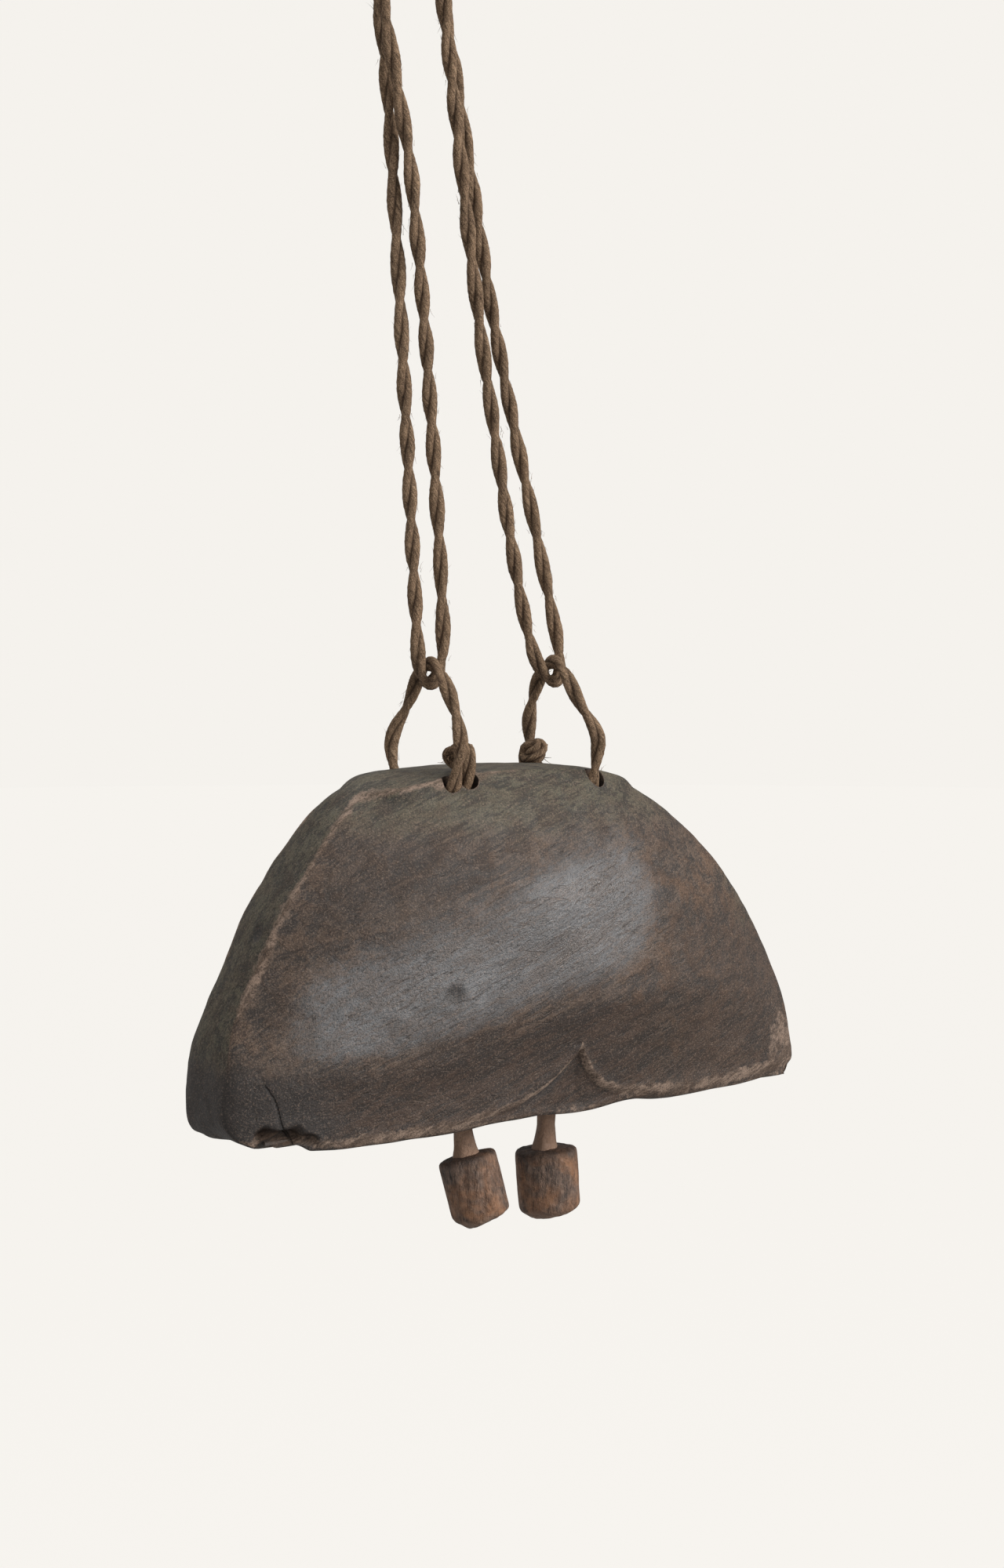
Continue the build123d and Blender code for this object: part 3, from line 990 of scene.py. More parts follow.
    def rubbed(self, points: np.ndarray) -> np.ndarray:
        """The outside with its ridges rubbed round: each column averaged with its neighbours.

        Three widths of bell-curve average along the rows are mixed, so that the lower corners
        are worn far rounder than the ridges of the arch.

        Args:
            points: The plain outside, as (columns, rows, 3).

        Returns:
            The rubbed outside.
        """
        rows = points.shape[1]
        levels = [points]
        for sigma in (1.1, 2.6, 6.0):
            reach = int(3 * sigma) + 1
            kernel = hump(np.arange(-reach, reach + 1), 0.0, sigma)
            kernel /= kernel.sum()
            before = 2 * points[:, :1] - points[:, reach:0:-1]
            after = 2 * points[:, -1:] - points[:, -2 : -reach - 2 : -1]
            wide = np.concatenate([before, points, after], axis=1)
            levels.append(sum(k * wide[:, i : i + rows] for i, k in enumerate(kernel)))
        x, z = points[..., 0], points[..., 2]
        corner = ease(-x, 88.0, 122.0) * ease(-z, -62.0, -18.0)
        corner = corner + 0.7 * ease(x, 100.0, 128.0) * ease(-z, -50.0, -12.0)
        steps = np.clip(0.7 + 2.2 * corner, 0.0, 2.999)
        low = steps.astype(int)
        share = (steps - low)[..., None]
        stack = np.stack(levels)
        softer, rounder = (
            np.take_along_axis(stack, level[None, ..., None].repeat(3, -1), 0)[0] for level in (low, low + 1)
        )
        return softer * (1.0 - share) + rounder * share

    def carving(self, points: np.ndarray, side: np.ndarray) -> tuple[np.ndarray, dict[str, np.ndarray]]:
        """How far the surface stands out of the plain form at each point, and what is painted there.

        Args:
            points: The outside, in millimetres.
            side: Each row's side.

        Returns:
            The rise in millimetres, and named values for the material.
        """
        x, z = points[..., 0], points[..., 2]
        front = np.broadcast_to(side[None] < 0, x.shape)
        faces = np.broadcast_to(side[None] != 0, x.shape)
        rise = 0.7 * soft_noise(points, 46.0, 3) + 0.17 * soft_noise(points * (1.0, 1.0, 1.6), 15.0, 11)
        rise += 0.09 * soft_noise(points * (0.35, 1.0, 1.0), 3.6, 21, 2)
        # A shallow band is cut away over the rim, deepest left of the middle.
        soft_line = self.soft_line(x)
        rise -= np.where(faces, 1.8 * ease(-z, -soft_line, -soft_line + 16.0) * hump(x, -20.0, 80.0), 0.0)
        # The lip: below its edge the wood is pared back, sharply at the point and softly further off.
        lip = z - self.lip_height(x)
        below = np.clip(-lip / 16.0, 0.0, 1.0)
        step = 1.0 - ease(lip, -1.6, 0.4)
        near_point = hump(x, self.lip_point, 26.0)
        rise -= np.where(front, step * (0.35 + 1.1 * near_point) + 2.2 * below * ease(x, -90.0, 20.0), 0.0)
        rise += np.where(front, 0.5 * hump(lip, 1.2, 1.5) * (0.35 + near_point), 0.0)
        # A knot on the face, a low ring round a sunk eye, and one on the left of the band
        far = np.hypot((x - self.knot_place[0]) / 1.1, z - self.knot_place[1])
        rise += np.where(front, 0.3 * hump(far, 5.0, 1.4) - 0.5 * hump(far, 0.0, 2.4), 0.0)
        band_far = np.hypot((points[..., 1] - self.band_knot[0]) * 1.3, z - self.band_knot[1])
        band_far = band_far + np.where(x < -90.0, 0.0, 99.0)
        rise += 0.3 * hump(band_far, 4.6, 1.2) - 0.8 * hump(band_far, 0.0, 2.2)
        # The rotted hollow in the left of the rim
        rot = np.hypot((x - self.rot_place[0]) / 1.8, (z - self.rot_place[1]) / 0.8)
        rot = rot + 1.6 * soft_noise(points, 6.0, 41)
        rotten = np.where(side[None] <= 0, 1.0 - ease(rot, 3.2, 6.6), 0.0)
        rise -= 6.5 * rotten
        split = np.abs((x - self.rot_place[0]) + 0.30 * (z - self.rot_place[1]) + 1.4 * soft_noise(points, 9.0, 43))
        split = np.where(front & (z < self.rot_place[1] + 24.0), split + 3.0 * ease(z, 22.0, 30.0), FAR_FROM_GROOVE)
        rise -= 0.35 * hump(split, 0.0, 0.5)

        values = {
            "olive": np.clip(
                np.where(side[None] == 0, 0.95, 0.0)
                + 0.75 * ease(z, 92.0, 128.0) + 0.5 * faces * ease(x, 80.0, 112.0) * ease(z, 40.0, 80.0), 0.0, 1.0)
            * (1.0 - ease(-z, -40.0, -14.0)),
            # Smoother, glossier wood that also carries a painted grey sheen: a diagonal band on the left and a
            # highlight spot near x 14, height 79.
            "polish": faces * ease(z - soft_line, -3.0, 9.0) * (
                0.85 * hump(z, 48.0 + 0.29 * (x + 80.0), 19.0) * ease(x, -126.0, -92.0) * ease(-x, -70.0, -30.0)
                + 0.9 * hump(np.hypot((x - 14.0) * 0.8, z - 79.0), 0.0, 11.0)),
            "warm": faces * np.clip(
                ease(x, 22.0, 60.0) * ease(-z, -112.0, -84.0)
                + 0.9 * ease(soft_line - z, -6.0, 3.0) * ease(x, 0.0, 40.0), 0.0, 1.0),
            # Lower band below the soft line and the lower right: partly browner wood, partly painted shade where the
            # face turns down.
            "under": faces * np.maximum(
                (1.0 - ease(z - soft_line, -8.0, 5.0)) * (1.0 - 0.6 * ease(x, 10.0, 60.0)),
                0.62 * ease(x, 40.0, 72.0) * ease(-z, -98.0, -66.0)),
            # Near-black marks: the lower-left corner and the knots; the strip under the left bow of the lip is
            # painted shade.
            "char": np.clip(
                ease(-x, 76.0, 116.0) * ease(-z, -46.0, -10.0) + 0.9 * hump(band_far, 0.0, 3.0)
                + front * hump(far, 0.0, 3.3)
                + 0.8 * front * (x < self.lip_point) * hump(lip, -2.5, 2.6) * hump(x, -4.0, 13.0), 0.0, 1.0),
            "groove_mm": np.minimum(split, FAR_FROM_GROOVE),
            # The rot hollow is marked as inside, so it gets the darker inner brown, partly painted shade.
            "inside": np.clip(rotten * 1.1, 0.0, 1.0) * 0.7,
        }
        return rise, values

    def make(self, material: bpy.types.Material) -> bpy.types.Object:
        """Build the bell body.

        Args:
            material: Its finish.

        Returns:
            The piece, standing for the bell_body node.
        """
        plain, side, near = self.wall()
        points = self.rubbed(plain)
        rise, values = self.carving(points, side)
        out = unit(np.cross(np.gradient(points, axis=0), np.gradient(points, axis=1)))
        if (out[self.columns // 2, 20] @ np.array([0.0, -1.0, 0.0])) < 0.0:
            out = -out
        z = points[..., 2]
        values["edge_mm"] = self.edge_distance(plain, z, side, near)
        round_by = self.rim_round
        rounding = round_by - np.sqrt(np.clip(round_by**2 - np.clip(round_by - z, 0.0, round_by) ** 2, 0.0, None))
        ridge_height = plain[:, self.front_rows - 1 : self.front_rows, 2]
        sideways = out * (1.0, 1.0, 0.0) * (1.0 - np.abs(out[..., 2:]))
        points = points + out * (rise * ease(z, -1.0, 3.0))[..., None]
        points = points - sideways * (rounding * ease(ridge_height, 1.0, 14.0))[..., None]
        points[..., 2] = np.maximum(points[..., 2], 0.0)
        points = self.settle(points)
        low = ease(-z, -9.0, -2.0)
        points[..., 2] += low * (0.8 * soft_noise(points * (1.0, 1.0, 0.0), 26.0, 51, 2) + 3.5 * values["inside"])

        maker = MeshMaker()
        columns, rows = points.shape[:2]
        index = maker.add_points(to_metres(points), **values) + np.arange(columns * rows).reshape(columns, rows)
        maker.add_quads(index)
        loop = np.concatenate([index[:, 0], index[-1, 1:-1], index[::-1, -1], index[0, -2:0:-1]])
        self.scoop(maker, loop, points.reshape(-1, 3)[loop - index[0, 0]])
        piece = maker.build("bell_body_carved", merge=4e-5, sharp_angle=62.0)
        self.drill(piece)
        piece.data.materials.clear()
        piece.data.materials.append(material)
        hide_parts("bell_body")
        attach(piece, "bell")
        return piece

    def edge_distance(self, plain: np.ndarray, z: np.ndarray, side: np.ndarray, near: np.ndarray) -> np.ndarray:
        """How far each point is from the nearest edge that wears: a ridge, the lip, the rim or a foot.

        Args:
            plain: The plain outside, in millimetres.
            z: Heights of the rubbed outside.
            side: Each row's side.
            near: Distance of each point from the nearer ridge.

        Returns:
            One distance for each point, stretched where that edge is less worn.
        """
        x = plain[..., 0]
        ridge = near * (1.0 + 0.8 * ease(np.abs(x + 80.0), 20.0, 60.0)) + 9.0 * ease(-z, -52.0, -36.0)
        ridge = ridge * (1.0 + 0.7 * soft_noise(plain, 15.0, 71)) + 3.0 * ease(x, -20.0, 20.0)
        faint = np.where(x < self.lip_point - 1.0, 3.4 - 1.6 * ease(-x, 10.0, 30.0), 1.25)
        lip_edge = np.maximum(np.abs(z - self.lip_height(x)) - 0.6, 0.0) * faint
        lip_edge = np.where(side[None] < 0, lip_edge, FAR_FROM_EDGE)
        worn_corner = hump(np.hypot(x - 124.0, (z - 14.0) * 0.8), 0.0, 15.0)
        rim_edge = np.abs(z - 1.0) * 1.5 + 1.4 + 4.0 * ease(-x, 96.0, 110.0)
        return np.minimum(np.minimum(ridge, lip_edge), np.minimum(rim_edge, 0.5 + 9.0 * (1.0 - worn_corner)))

    def scoop(self, maker: MeshMaker, loop: np.ndarray, edge: np.ndarray) -> None:
        """Add the hollow as rings that run from the rim's inner edge up the walls to the roof.

        Ring points stand at length times cos and depth times sin of the rim point's angle, with
        gouge marks; the first rings cross the rim's flat and the last ones close the roof.

        Args:
            maker: Where the outside already is.
            loop: Indices of the rim's points.
            edge: Those points, in millimetres.
        """
        heights, lengths, depths = np.array(self.hollow).T
        angle = np.arctan2(edge[:, 1] / depths[0], (edge[:, 0] - 1.0) / lengths[0])
        plain = np.zeros(angle.shape)
        before = loop
        floors = [(0.0, share) for share in (0.12, 0.35, 0.6, 0.82)] + [(level, 1.0) for level in (0.0, 1.2, 3.0)]
        floors += [(level, 1.0) for level in np.linspace(6.0, 108.0, 20)]
        roof = ((0.0, 0.97), (1.2, 0.8), (1.8, 0.55), (2.0, 0.3), (2.0, 0.0))
        floors += [(self.hollow_top + above, -share) for above, share in roof]
        for level, share in floors:
            narrow = abs(share) if share <= 0 else 1.0
            widen = 1.6 * (level < 1.0) + 0.5 * (level == 1.2)
            length = np.interp(level, heights, lengths) * narrow + widen
            depth = np.interp(level, heights, depths) * narrow + widen
            ring = np.stack([length * np.cos(angle), depth * np.sin(angle), plain + float(level)], axis=-1)
            gouge = 0.9 * soft_noise(ring * (1.0, 1.0, 0.5), 13.0, 61, 2) * ease(level, 2.0, 20.0)
            ring[:, :2] *= (1.0 + gouge / 60.0)[:, None]
            if level == 0.0:
                ring = edge + (ring - edge) * share
                ring[:, 2] = edge[:, 2] - 0.4 * math.sin(math.pi * share)
            elif share == 1.0:
                ring[:, 2] += edge[:, 2] * (1.0 - ease(level, 0.0, 24.0))
            # The hollow's walls are marked as inside and darkened as painted shade, less so near the rim.
            inside = plain + (1.0 if level > 2.0 or share <= 0 else 0.25 + 0.5 * share)
            start = maker.add_points(
                to_metres(ring), inside=inside, edge_mm=plain + FAR_FROM_EDGE, groove_mm=plain + FAR_FROM_GROOVE,
                olive=plain, polish=plain, char=plain + 0.3, under=plain, warm=plain,
            )
            after = start + np.arange(len(angle))
            maker.add_quads(np.stack([np.append(before, before[0]), np.append(after, after[0])]))
            before = after

    def drill(self, piece: bpy.types.Object) -> None:
        """Cut the worn cord holes through the crown; ropes that share a hole wear a slot.

        Each hole is a peg from its inner end to its outer one. Pegs that cross each other are cut
        one after the other.

        Args:
            piece: The bell body.
        """
        rounds = (
            (((-28.0, -10.0, 96.0), (-26.6, -21.6, 143.0), 3.9), ((-33.4, 10.0, 97.0), (-38.4, 21.6, 143.0), 4.0),
             ((31.0, -10.0, 97.0), (33.6, -22.2, 143.0), 4.0), ((27.0, 10.0, 97.0), (25.4, 21.8, 143.0), 4.2)),
            (((-37.5, -11.0, 97.0), (-33.2, -21.6, 143.0), 3.8), ((36.4, 11.0, 97.0), (32.0, 21.8, 143.0), 4.2)),
        )
        holders = []
        for runs in rounds:
            pegs = [
                peg_cutter(f"peg_{number}", spot(*outer), spot(*inner), radius * MM, 1.12)
                for number, (inner, outer, radius) in enumerate(runs)
            ]
            joined = bmesh.new()
            for peg in pegs:
                joined.from_mesh(peg.data)
            joined.to_mesh(pegs[0].data)
            joined.free()
            for peg in pegs[1:]:
                bpy.data.objects.remove(peg)
            holders.append(pegs[0])
        cut(piece, holders, 62.0)


# ---------------------------------------------------------------------------
# Cords
# ---------------------------------------------------------------------------


@dataclass
class LaidCord:
    """One cord of one or two twisted strands along a route, with stray fibres."""

    name: str
    node: str
    body: str
    route: list[Point]
    strand: float
    lay_length: float
    strands: int = 2
    fibres_per_metre: float = 420.0
    seed: int = 5
    path: np.ndarray = field(default=None, init=False)

    def rings(self, number: int, path: np.ndarray, frames: Frames) -> tuple[np.ndarray, np.ndarray, np.ndarray]:
        """One strand's rings.

        The strand's middle turns round the path at half a strand's radius from it, once per lay
        length; ring points stand at strand radius from that middle, a little thicker and thinner
        by noise.

        Args:
            number: Which strand.
            path: The cord's middle line, in even steps.
            frames: Its directions at each station.

        Returns:
            Points (stations, sides, 3), the fibre direction values and how near each point is to
            the groove between strands, which is darkened there as painted shade.
        """
        _, side, other = frames
        step = np.linalg.norm(path[1] - path[0])
        travelled = np.arange(len(path)) * step
        turn = 2.0 * math.pi * travelled / self.lay_length + number * math.pi + 0.5 * np.sin(travelled * 31.0)
        outward = np.cos(turn)[:, None] * side + np.sin(turn)[:, None] * other
        radius = self.strand / 2.0
        middle = path + outward * (radius * 0.84 if self.strands == 2 else 0.0)
        angle = np.linspace(0.0, 2.0 * math.pi, 14, endpoint=False)
        along = np.stack([travelled, travelled * 0 + number, travelled * 0], -1)
        lumps = 1.0 + 0.07 * soft_noise(along, 0.007, self.seed, 2)
        spun = angle[None] + 2.0 * math.pi * travelled[:, None] / (self.strand * 5.5)
        ridges = 1.0 + 0.045 * np.sin(5.0 * spun) + 0.02 * np.sin(9.0 * spun + 1.0)
        around = circles(side, other, angle)
        facing = np.einsum("ijk,ik->ij", around, outward)
        press = 1.0 + (0.07 if self.strands == 2 else 0.0)
        points = middle[:, None] + around * (radius * lumps[:, None] * ridges * press)[..., None]
        lengthwise = np.broadcast_to(travelled[:, None] * 110.0 + 9.0 * number, spun.shape)
        fibre = np.stack([np.cos(spun) * 1.6, np.sin(spun) * 1.6, lengthwise], -1)
        # Painted shade on the side of each strand that faces the other.
        crease = ease(-facing, 0.15, 0.95) if self.strands == 2 else np.zeros(facing.shape)
        return points, fibre, crease

    def stray_fibres(self, path: np.ndarray, frames: Frames) -> tuple[np.ndarray, np.ndarray]:
        """Fine hairs that stand off the cord, each a tapered three-sided whisker of four stations.

        Hair h starts on the surface at a random place, runs along the tangent and bends outwards
        as the square of its own share.

        Args:
            path: The cord's middle line, in even steps.
            frames: Its directions at each station.

        Returns:
            Points (hairs, stations, sides, 3) and their fibre values.
        """
        rng = np.random.default_rng(self.seed)
        total = np.linalg.norm(np.diff(path, axis=0), axis=1).sum()
        count = max(int(total * self.fibres_per_metre), 4)
        where = rng.integers(1, len(path) - 1, count)
        tangent, side, other = (frame[where] for frame in frames)
        angle = rng.uniform(0, 2 * math.pi, count)[:, None]
        outward = np.cos(angle) * side + np.sin(angle) * other
        sideways = np.cross(tangent, outward)
        onward = tangent * rng.choice([-1, 1], count)[:, None]
        heading = unit(onward + sideways * rng.normal(0, 0.4, count)[:, None])
        length = rng.uniform(0.0012, 0.0036, count)[:, None, None]
        surface = self.strand * (0.97 if self.strands == 2 else 0.48)
        share = np.linspace(0.0, 1.0, 4)[None, :, None]
        lift = rng.uniform(0.1, 0.55, count)[:, None, None]
        spine = (path[where] + outward * surface * 0.9)[:, None] + heading[:, None] * share * length
        spine = spine + outward[:, None] * share**2 * length * lift
        corners = np.array([0.0, 2.1, 4.2])
        thin = (0.00011 * (1.0 - 0.8 * share))[..., None]
        around = circles(outward, sideways, corners)[:, None]
        return spine[:, :, None] + around * thin, rng.uniform(0, 40, (count, 3))

    def make(self, material: bpy.types.Material) -> bpy.types.Object:
        """Build the strands and hairs as one mesh that follows the cord's NURBS line.

        Args:
            material: Their finish.

        Returns:
            The piece.
        """
        self.path = even_steps(nurbs_points(self.name + "_line", self.route), 0.0011)
        frames = carried_frames(self.path)
        maker = MeshMaker()
        for number in range(self.strands):
            points, fibre, crease = self.rings(number, self.path, frames)
            maker.add_tube(points, fibre_way=fibre, crease=crease)
        hairs, tint = self.stray_fibres(self.path, frames)
        count, stations, sides = hairs.shape[:3]
        start = maker.add_points(
            hairs, fibre_way=np.broadcast_to(tint[:, None, None], hairs.shape), crease=np.zeros(hairs.shape[:3])
        )
        index = start + np.arange(count * stations * sides).reshape(count, stations, sides)
        index = np.concatenate([index, index[:, :, :1]], axis=2)
        quads = np.stack([index[:, :-1, :-1], index[:, :-1, 1:], index[:, 1:, 1:], index[:, 1:, :-1]], axis=-1)
        maker.faces.extend(map(tuple, quads.reshape(-1, 4).tolist()))
        piece = maker.build(self.name)
        piece.data.materials.append(material)
        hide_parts(self.node)
        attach(piece, self.body)
        return piece


@dataclass
class Knot:
    """A lump of a cord's end wound on itself, with a frayed tail."""

    name: str
    node: str
    body: str
    centre: Point
    axis: Point
    radius: float
    turns: float
    rise: float
    strand: float
    tail: Point | None = None
    seed: int = 9

    def coil(self) -> np.ndarray:
        """The winding line: a circle of the knot's radius round its axis, rising with each turn.

        Returns:
            Its points, in metres.
        """
        axis = unit(np.array(self.axis, float))
        side = unit(np.cross(axis, (0.31, 0.95, 0.1)))
        other = np.cross(axis, side)
        t = np.linspace(0.0, 1.0, 160)
        angle = 2.0 * math.pi * self.turns * t
        swell = self.radius * (1.0 - 0.35 * np.abs(2.0 * t - 1.0) ** 3)
        wave = 0.18 * self.radius * np.sin(2.0 * angle)
        swing = np.cos(angle)[:, None] * side * swell[:, None] + np.sin(angle)[:, None] * other * swell[:, None]
        return np.array(self.centre) + swing + axis * ((t - 0.5) * self.rise + wave)[:, None]

    def make(self, material: bpy.types.Material) -> bpy.types.Object:
        """Build the winding and its tail.

        Args:
            material: Their finish.

        Returns:
            The piece.
        """
        winding = LaidCord(self.name, self.node, self.body, [], self.strand, 0.021, seed=self.seed)
        maker = MeshMaker()
        line = even_steps(self.coil(), 0.0009)
        frames = carried_frames(line)
        for number in range(2):
            points, fibre, crease = winding.rings(number, line, frames)
            maker.add_tube(points, fibre_way=fibre, crease=crease)
        reach = np.linspace(-0.5, 0.5, 12)[:, None]
        core = np.array(self.centre) + unit(np.array(self.axis)) * reach * self.rise * 0.9
        _, side, other = carried_frames(core)
        angle = np.linspace(0.0, 2.0 * math.pi, 14, endpoint=False)
        belly = self.radius * 0.85 * np.sqrt(1.02 - np.linspace(-1.0, 1.0, 12) ** 2)
        middle = core[:, None] + circles(side, other, angle) * belly[:, None, None]
        # The knot's hidden core is darkened by half as painted shade.
        maker.add_tube(middle, fibre_way=middle * 900.0, crease=np.full(middle.shape[:2], 0.5))
        if self.tail is not None:
            self.fray(maker)
        piece = maker.build(self.name)
        piece.data.materials.append(material)
        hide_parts(self.node)
        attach(piece, self.body)
        return piece

    def fray(self, maker: MeshMaker) -> None:
        """Add the frayed tail: wisps that part from one root and bend as the square of their share.

        Args:
            maker: Where the winding already is.
        """
        rng = np.random.default_rng(self.seed)
        root = np.array(self.centre) + unit(np.array(self.tail)) * self.radius * 0.7
        share = np.linspace(0.0, 1.0, 5)[:, None]
        corner = np.array([0.0, 1.57, 3.14, 4.71])
        for _ in range(18):
            way = unit(np.array(self.tail) + rng.normal(0.0, 0.38, 3))
            length = rng.uniform(0.0018, 0.0036)
            spine = root + rng.normal(0.0, 0.0009, 3) + way * share * length
            spine = spine + rng.normal(0, 0.35, 3) * share**2 * length
            _, side, other = carried_frames(spine)
            wisp = spine[:, None] + circles(side, other, corner) * (0.00024 * (1.0 - 0.75 * share))[..., None]
            fibre = np.full(wisp.shape, rng.uniform(0, 30))
            maker.add_tube(wisp, fibre_way=fibre, crease=np.zeros(wisp.shape[:2]))


class Side(Enum):
    """Which clapper."""

    LEFT = "left"
    RIGHT = "right"


@dataclass
class Clapper:
    """One clapper, its eye, its tie and the tie's knot; it hangs from the rope run under the crown."""

    side: Side
    run_start: Point
    run_end: Point
    neck: Point
    head_lean: Pair
    head_radius: float
    head_height: float
    seed: int
    tie_drop: float = 26.5
    tie_top: float = 5.4
    tie_eye: float = 7.0
    over_rope: float = 5.05
    eye_top: float = 6.5

    def __post_init__(self) -> None:
        """Work out the pivot, the eye and the directions, in millimetres from the rim's middle."""
        start, end, neck = (np.array(p, float) for p in (self.run_start, self.run_end, self.neck))
        along = unit((end - start) * (1.0, 1.0, 0.0))
        level = np.cross(along, (0.0, 0.0, 1.0))
        self.pivot = (start + end) / 2.0
        lean = math.atan2((neck - self.pivot) @ level, -(neck - self.pivot)[2])
        self.across = level * math.cos(lean) + np.array([0.0, 0.0, 1.0]) * math.sin(lean)
        self.down = level * math.sin(lean) - np.array([0.0, 0.0, 1.0]) * math.cos(lean)
        self.eye = self.pivot + self.down * self.tie_drop
        self.stem_axis = unit(neck - self.eye)
        self.head_axis = unit(np.array([*self.head_lean, -1.0]))

    def tie_route(self) -> list[Point]:
        """The tie's loop: from its knot down through the eye, up, over the rope and back.

        Returns:
            Its control points, in metres.
        """
        top = self.tie_drop + self.over_rope
        marks = (
            (-self.tie_eye + 0.4, self.tie_drop * 0.45), (-self.tie_eye, 0.0), (self.tie_eye, 0.0),
            (self.tie_eye - 0.6, self.tie_drop * 0.55), (self.tie_top, top), (-self.tie_top, top),
            (-self.tie_eye + 0.9, self.tie_drop * 0.6),
        )
        return [spot(*(self.eye + self.across * side - self.down * rise)) for side, rise in marks]

    def stem(self, maker: MeshMaker) -> None:
        """The stem: rings along its axis, rounded over the eye, slim at the waist, flared at the neck.

        The radius follows stations along the axis, with five flat knife cuts and noise.

        Args:
            maker: Where the stem is added.
        """
        length = float(np.linalg.norm(np.array(self.neck) - self.eye))
        marks = np.concatenate([np.linspace(-self.eye_top, 0.0, 12), np.linspace(1.5, length + 2.0, 60)])
        stations = np.array([
            -self.eye_top, -6.0, -4.6, -2.0, 1.0, 8.0, length * 0.5, length - 9.0, length - 3.0, length + 2.0
        ])
        widths = np.array([0.4, 2.0, 3.4, 4.2, 4.3, 4.2, 4.0, 3.9, 4.7, 6.2])
        radius = np.interp(marks, stations, widths)
        _, side, other = carried_frames(np.stack([self.eye, self.eye + self.stem_axis]))
        angle = np.linspace(0.0, 2.0 * math.pi, 32, endpoint=False)
        flats = 1.0 - 0.07 * np.abs(np.sin(2.5 * angle + 0.8 * self.seed))
        ring = np.cos(angle)[:, None] * side[0] + np.sin(angle)[:, None] * other[0]
        centre = self.eye + self.stem_axis * marks[:, None]
        rings = centre[:, None] + ring[None] * (radius[:, None] * flats[None])[..., None]
        rings = rings + ring[None] * 0.22 * soft_noise(rings * (1.0, 1.0, 0.3), 4.0, self.seed, 2)[..., None]
        near_head = np.broadcast_to(ease(marks, length - 3.5, length)[:, None], rings.shape[:2])
        shade = np.broadcast_to(0.6 * (1.0 - ease(marks, length - 34, length - 16))[:, None], rings.shape[:2])
        maker.add_tube(to_metres(rings), fresh=0.6 + 0.2 * near_head, shade=shade)

    def head(self, maker: MeshMaker) -> None:
        """The head: a barrel cut by flat knife strokes.

        For each direction from the middle, each cut is a plane at its own distance, and the
        surface stands at the nearest cut, eased by a high power mean so that edges are rubbed.

        Args:
            maker: Where the head is added.
        """
        axis, rng = self.head_axis, np.random.default_rng(self.seed)
        side = unit(np.cross(axis, (0.0, 1.0, 0.0)))
        other = np.cross(axis, side)
        half, radius = self.head_height / 2.0, self.head_radius
        polar, azimuth = np.meshgrid(
            np.linspace(0.0, math.pi, 72), np.linspace(0, 2 * math.pi, 128, endpoint=False), indexing="ij"
        )
        way = np.stack([np.sin(polar) * np.cos(azimuth), np.sin(polar) * np.sin(azimuth), np.cos(polar)], axis=-1)
        planes, distances = [(0.0, 0.0, -1.0)], [half]
        for count, uneven, level, up, nearest, furthest in (
            (13, 0.12, 1.0, 0.0, 0.965, 1.0), (9, 0.2, 0.42, -0.9, 0.945, 0.965), (7, 0.3, 0.62, 0.78, 0.83, 0.89)
        ):
            for turn in np.linspace(0, 2 * math.pi, count, endpoint=False) + rng.uniform(-uneven, uneven, count):
                planes.append((level * math.cos(turn), level * math.sin(turn), up))
                distances.append((half * abs(up) + radius * level) * rng.uniform(nearest, furthest))
        first_upper = len(planes) - 7
        tip = unit(np.array([0.18, 0.1, 1.0]))
        planes.append(tuple(tip))
        distances.append(half * 0.985)
        away = np.array(distances) / np.linalg.norm(planes, axis=1)
        cuts = unit(np.array(planes)) @ way.reshape(-1, 3).T / away[:, None]
        power = 26
        far = ((np.clip(cuts, 0.0, None) ** power).sum(axis=0) ** (-1 / power)).reshape(polar.shape)
        local = way * far[..., None]
        local = local + way * (0.16 * soft_noise(local * (1.0, 1.0, 0.35), 3.0, self.seed + 4, 2))[..., None]
        middle = np.array(self.neck) + axis * half
        rings = middle + local[..., :1] * side + local[..., 1:2] * other + local[..., 2:] * axis
        chosen = np.argmax(cuts, axis=0).reshape(polar.shape)
        upper = chosen >= first_upper
        fresh = np.where(upper, 0.35, 0.0) * ease(soft_noise(rings, 7.0, self.seed + 7), -0.4, 0.5)
        if self.side is Side.LEFT:
            fresh = np.maximum(fresh, np.where(chosen == first_upper + 1, 0.95, 0.0))
        shade = 0.75 * hump(local[..., 2], -half + 0.6, 1.6) + 0.25 * upper
        maker.add_tube(to_metres(rings)[1:-1], fresh=fresh[1:-1], shade=np.clip(shade, 0, 1)[1:-1])

    def make(self, wood: bpy.types.Material, fibre: bpy.types.Material) -> tuple[bpy.types.Object, ...]:
        """Build the clapper, its tie and its tie's knot.

        Args:
            wood: The clapper's finish.
            fibre: The tie's finish.

        Returns:
            The three pieces.
        """
        word = self.side.value
        maker = MeshMaker()
        self.stem(maker)
        clapper = maker.build(f"clapper_{word}_whittled", merge=1e-6, sharp_angle=60.0)
        reach = self.across * 12.0
        hole = peg_cutter(f"eye_{word}", spot(*(self.eye - reach)), spot(*(self.eye + reach)), 2.15 * MM)
        cut(clapper, [hole], 60.0)
        head = MeshMaker()
        self.head(head)
        block = head.build(f"head_{word}", merge=1e-6, sharp_angle=60.0)
        whole = bmesh.new()
        for part in (clapper, block):
            whole.from_mesh(part.data)
        whole.to_mesh(clapper.data)
        whole.free()
        bpy.data.objects.remove(block)
        clapper.data.materials.clear()
        clapper.data.materials.append(wood)
        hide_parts(f"clapper_{word}")
        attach(clapper, f"{word}_clapper")

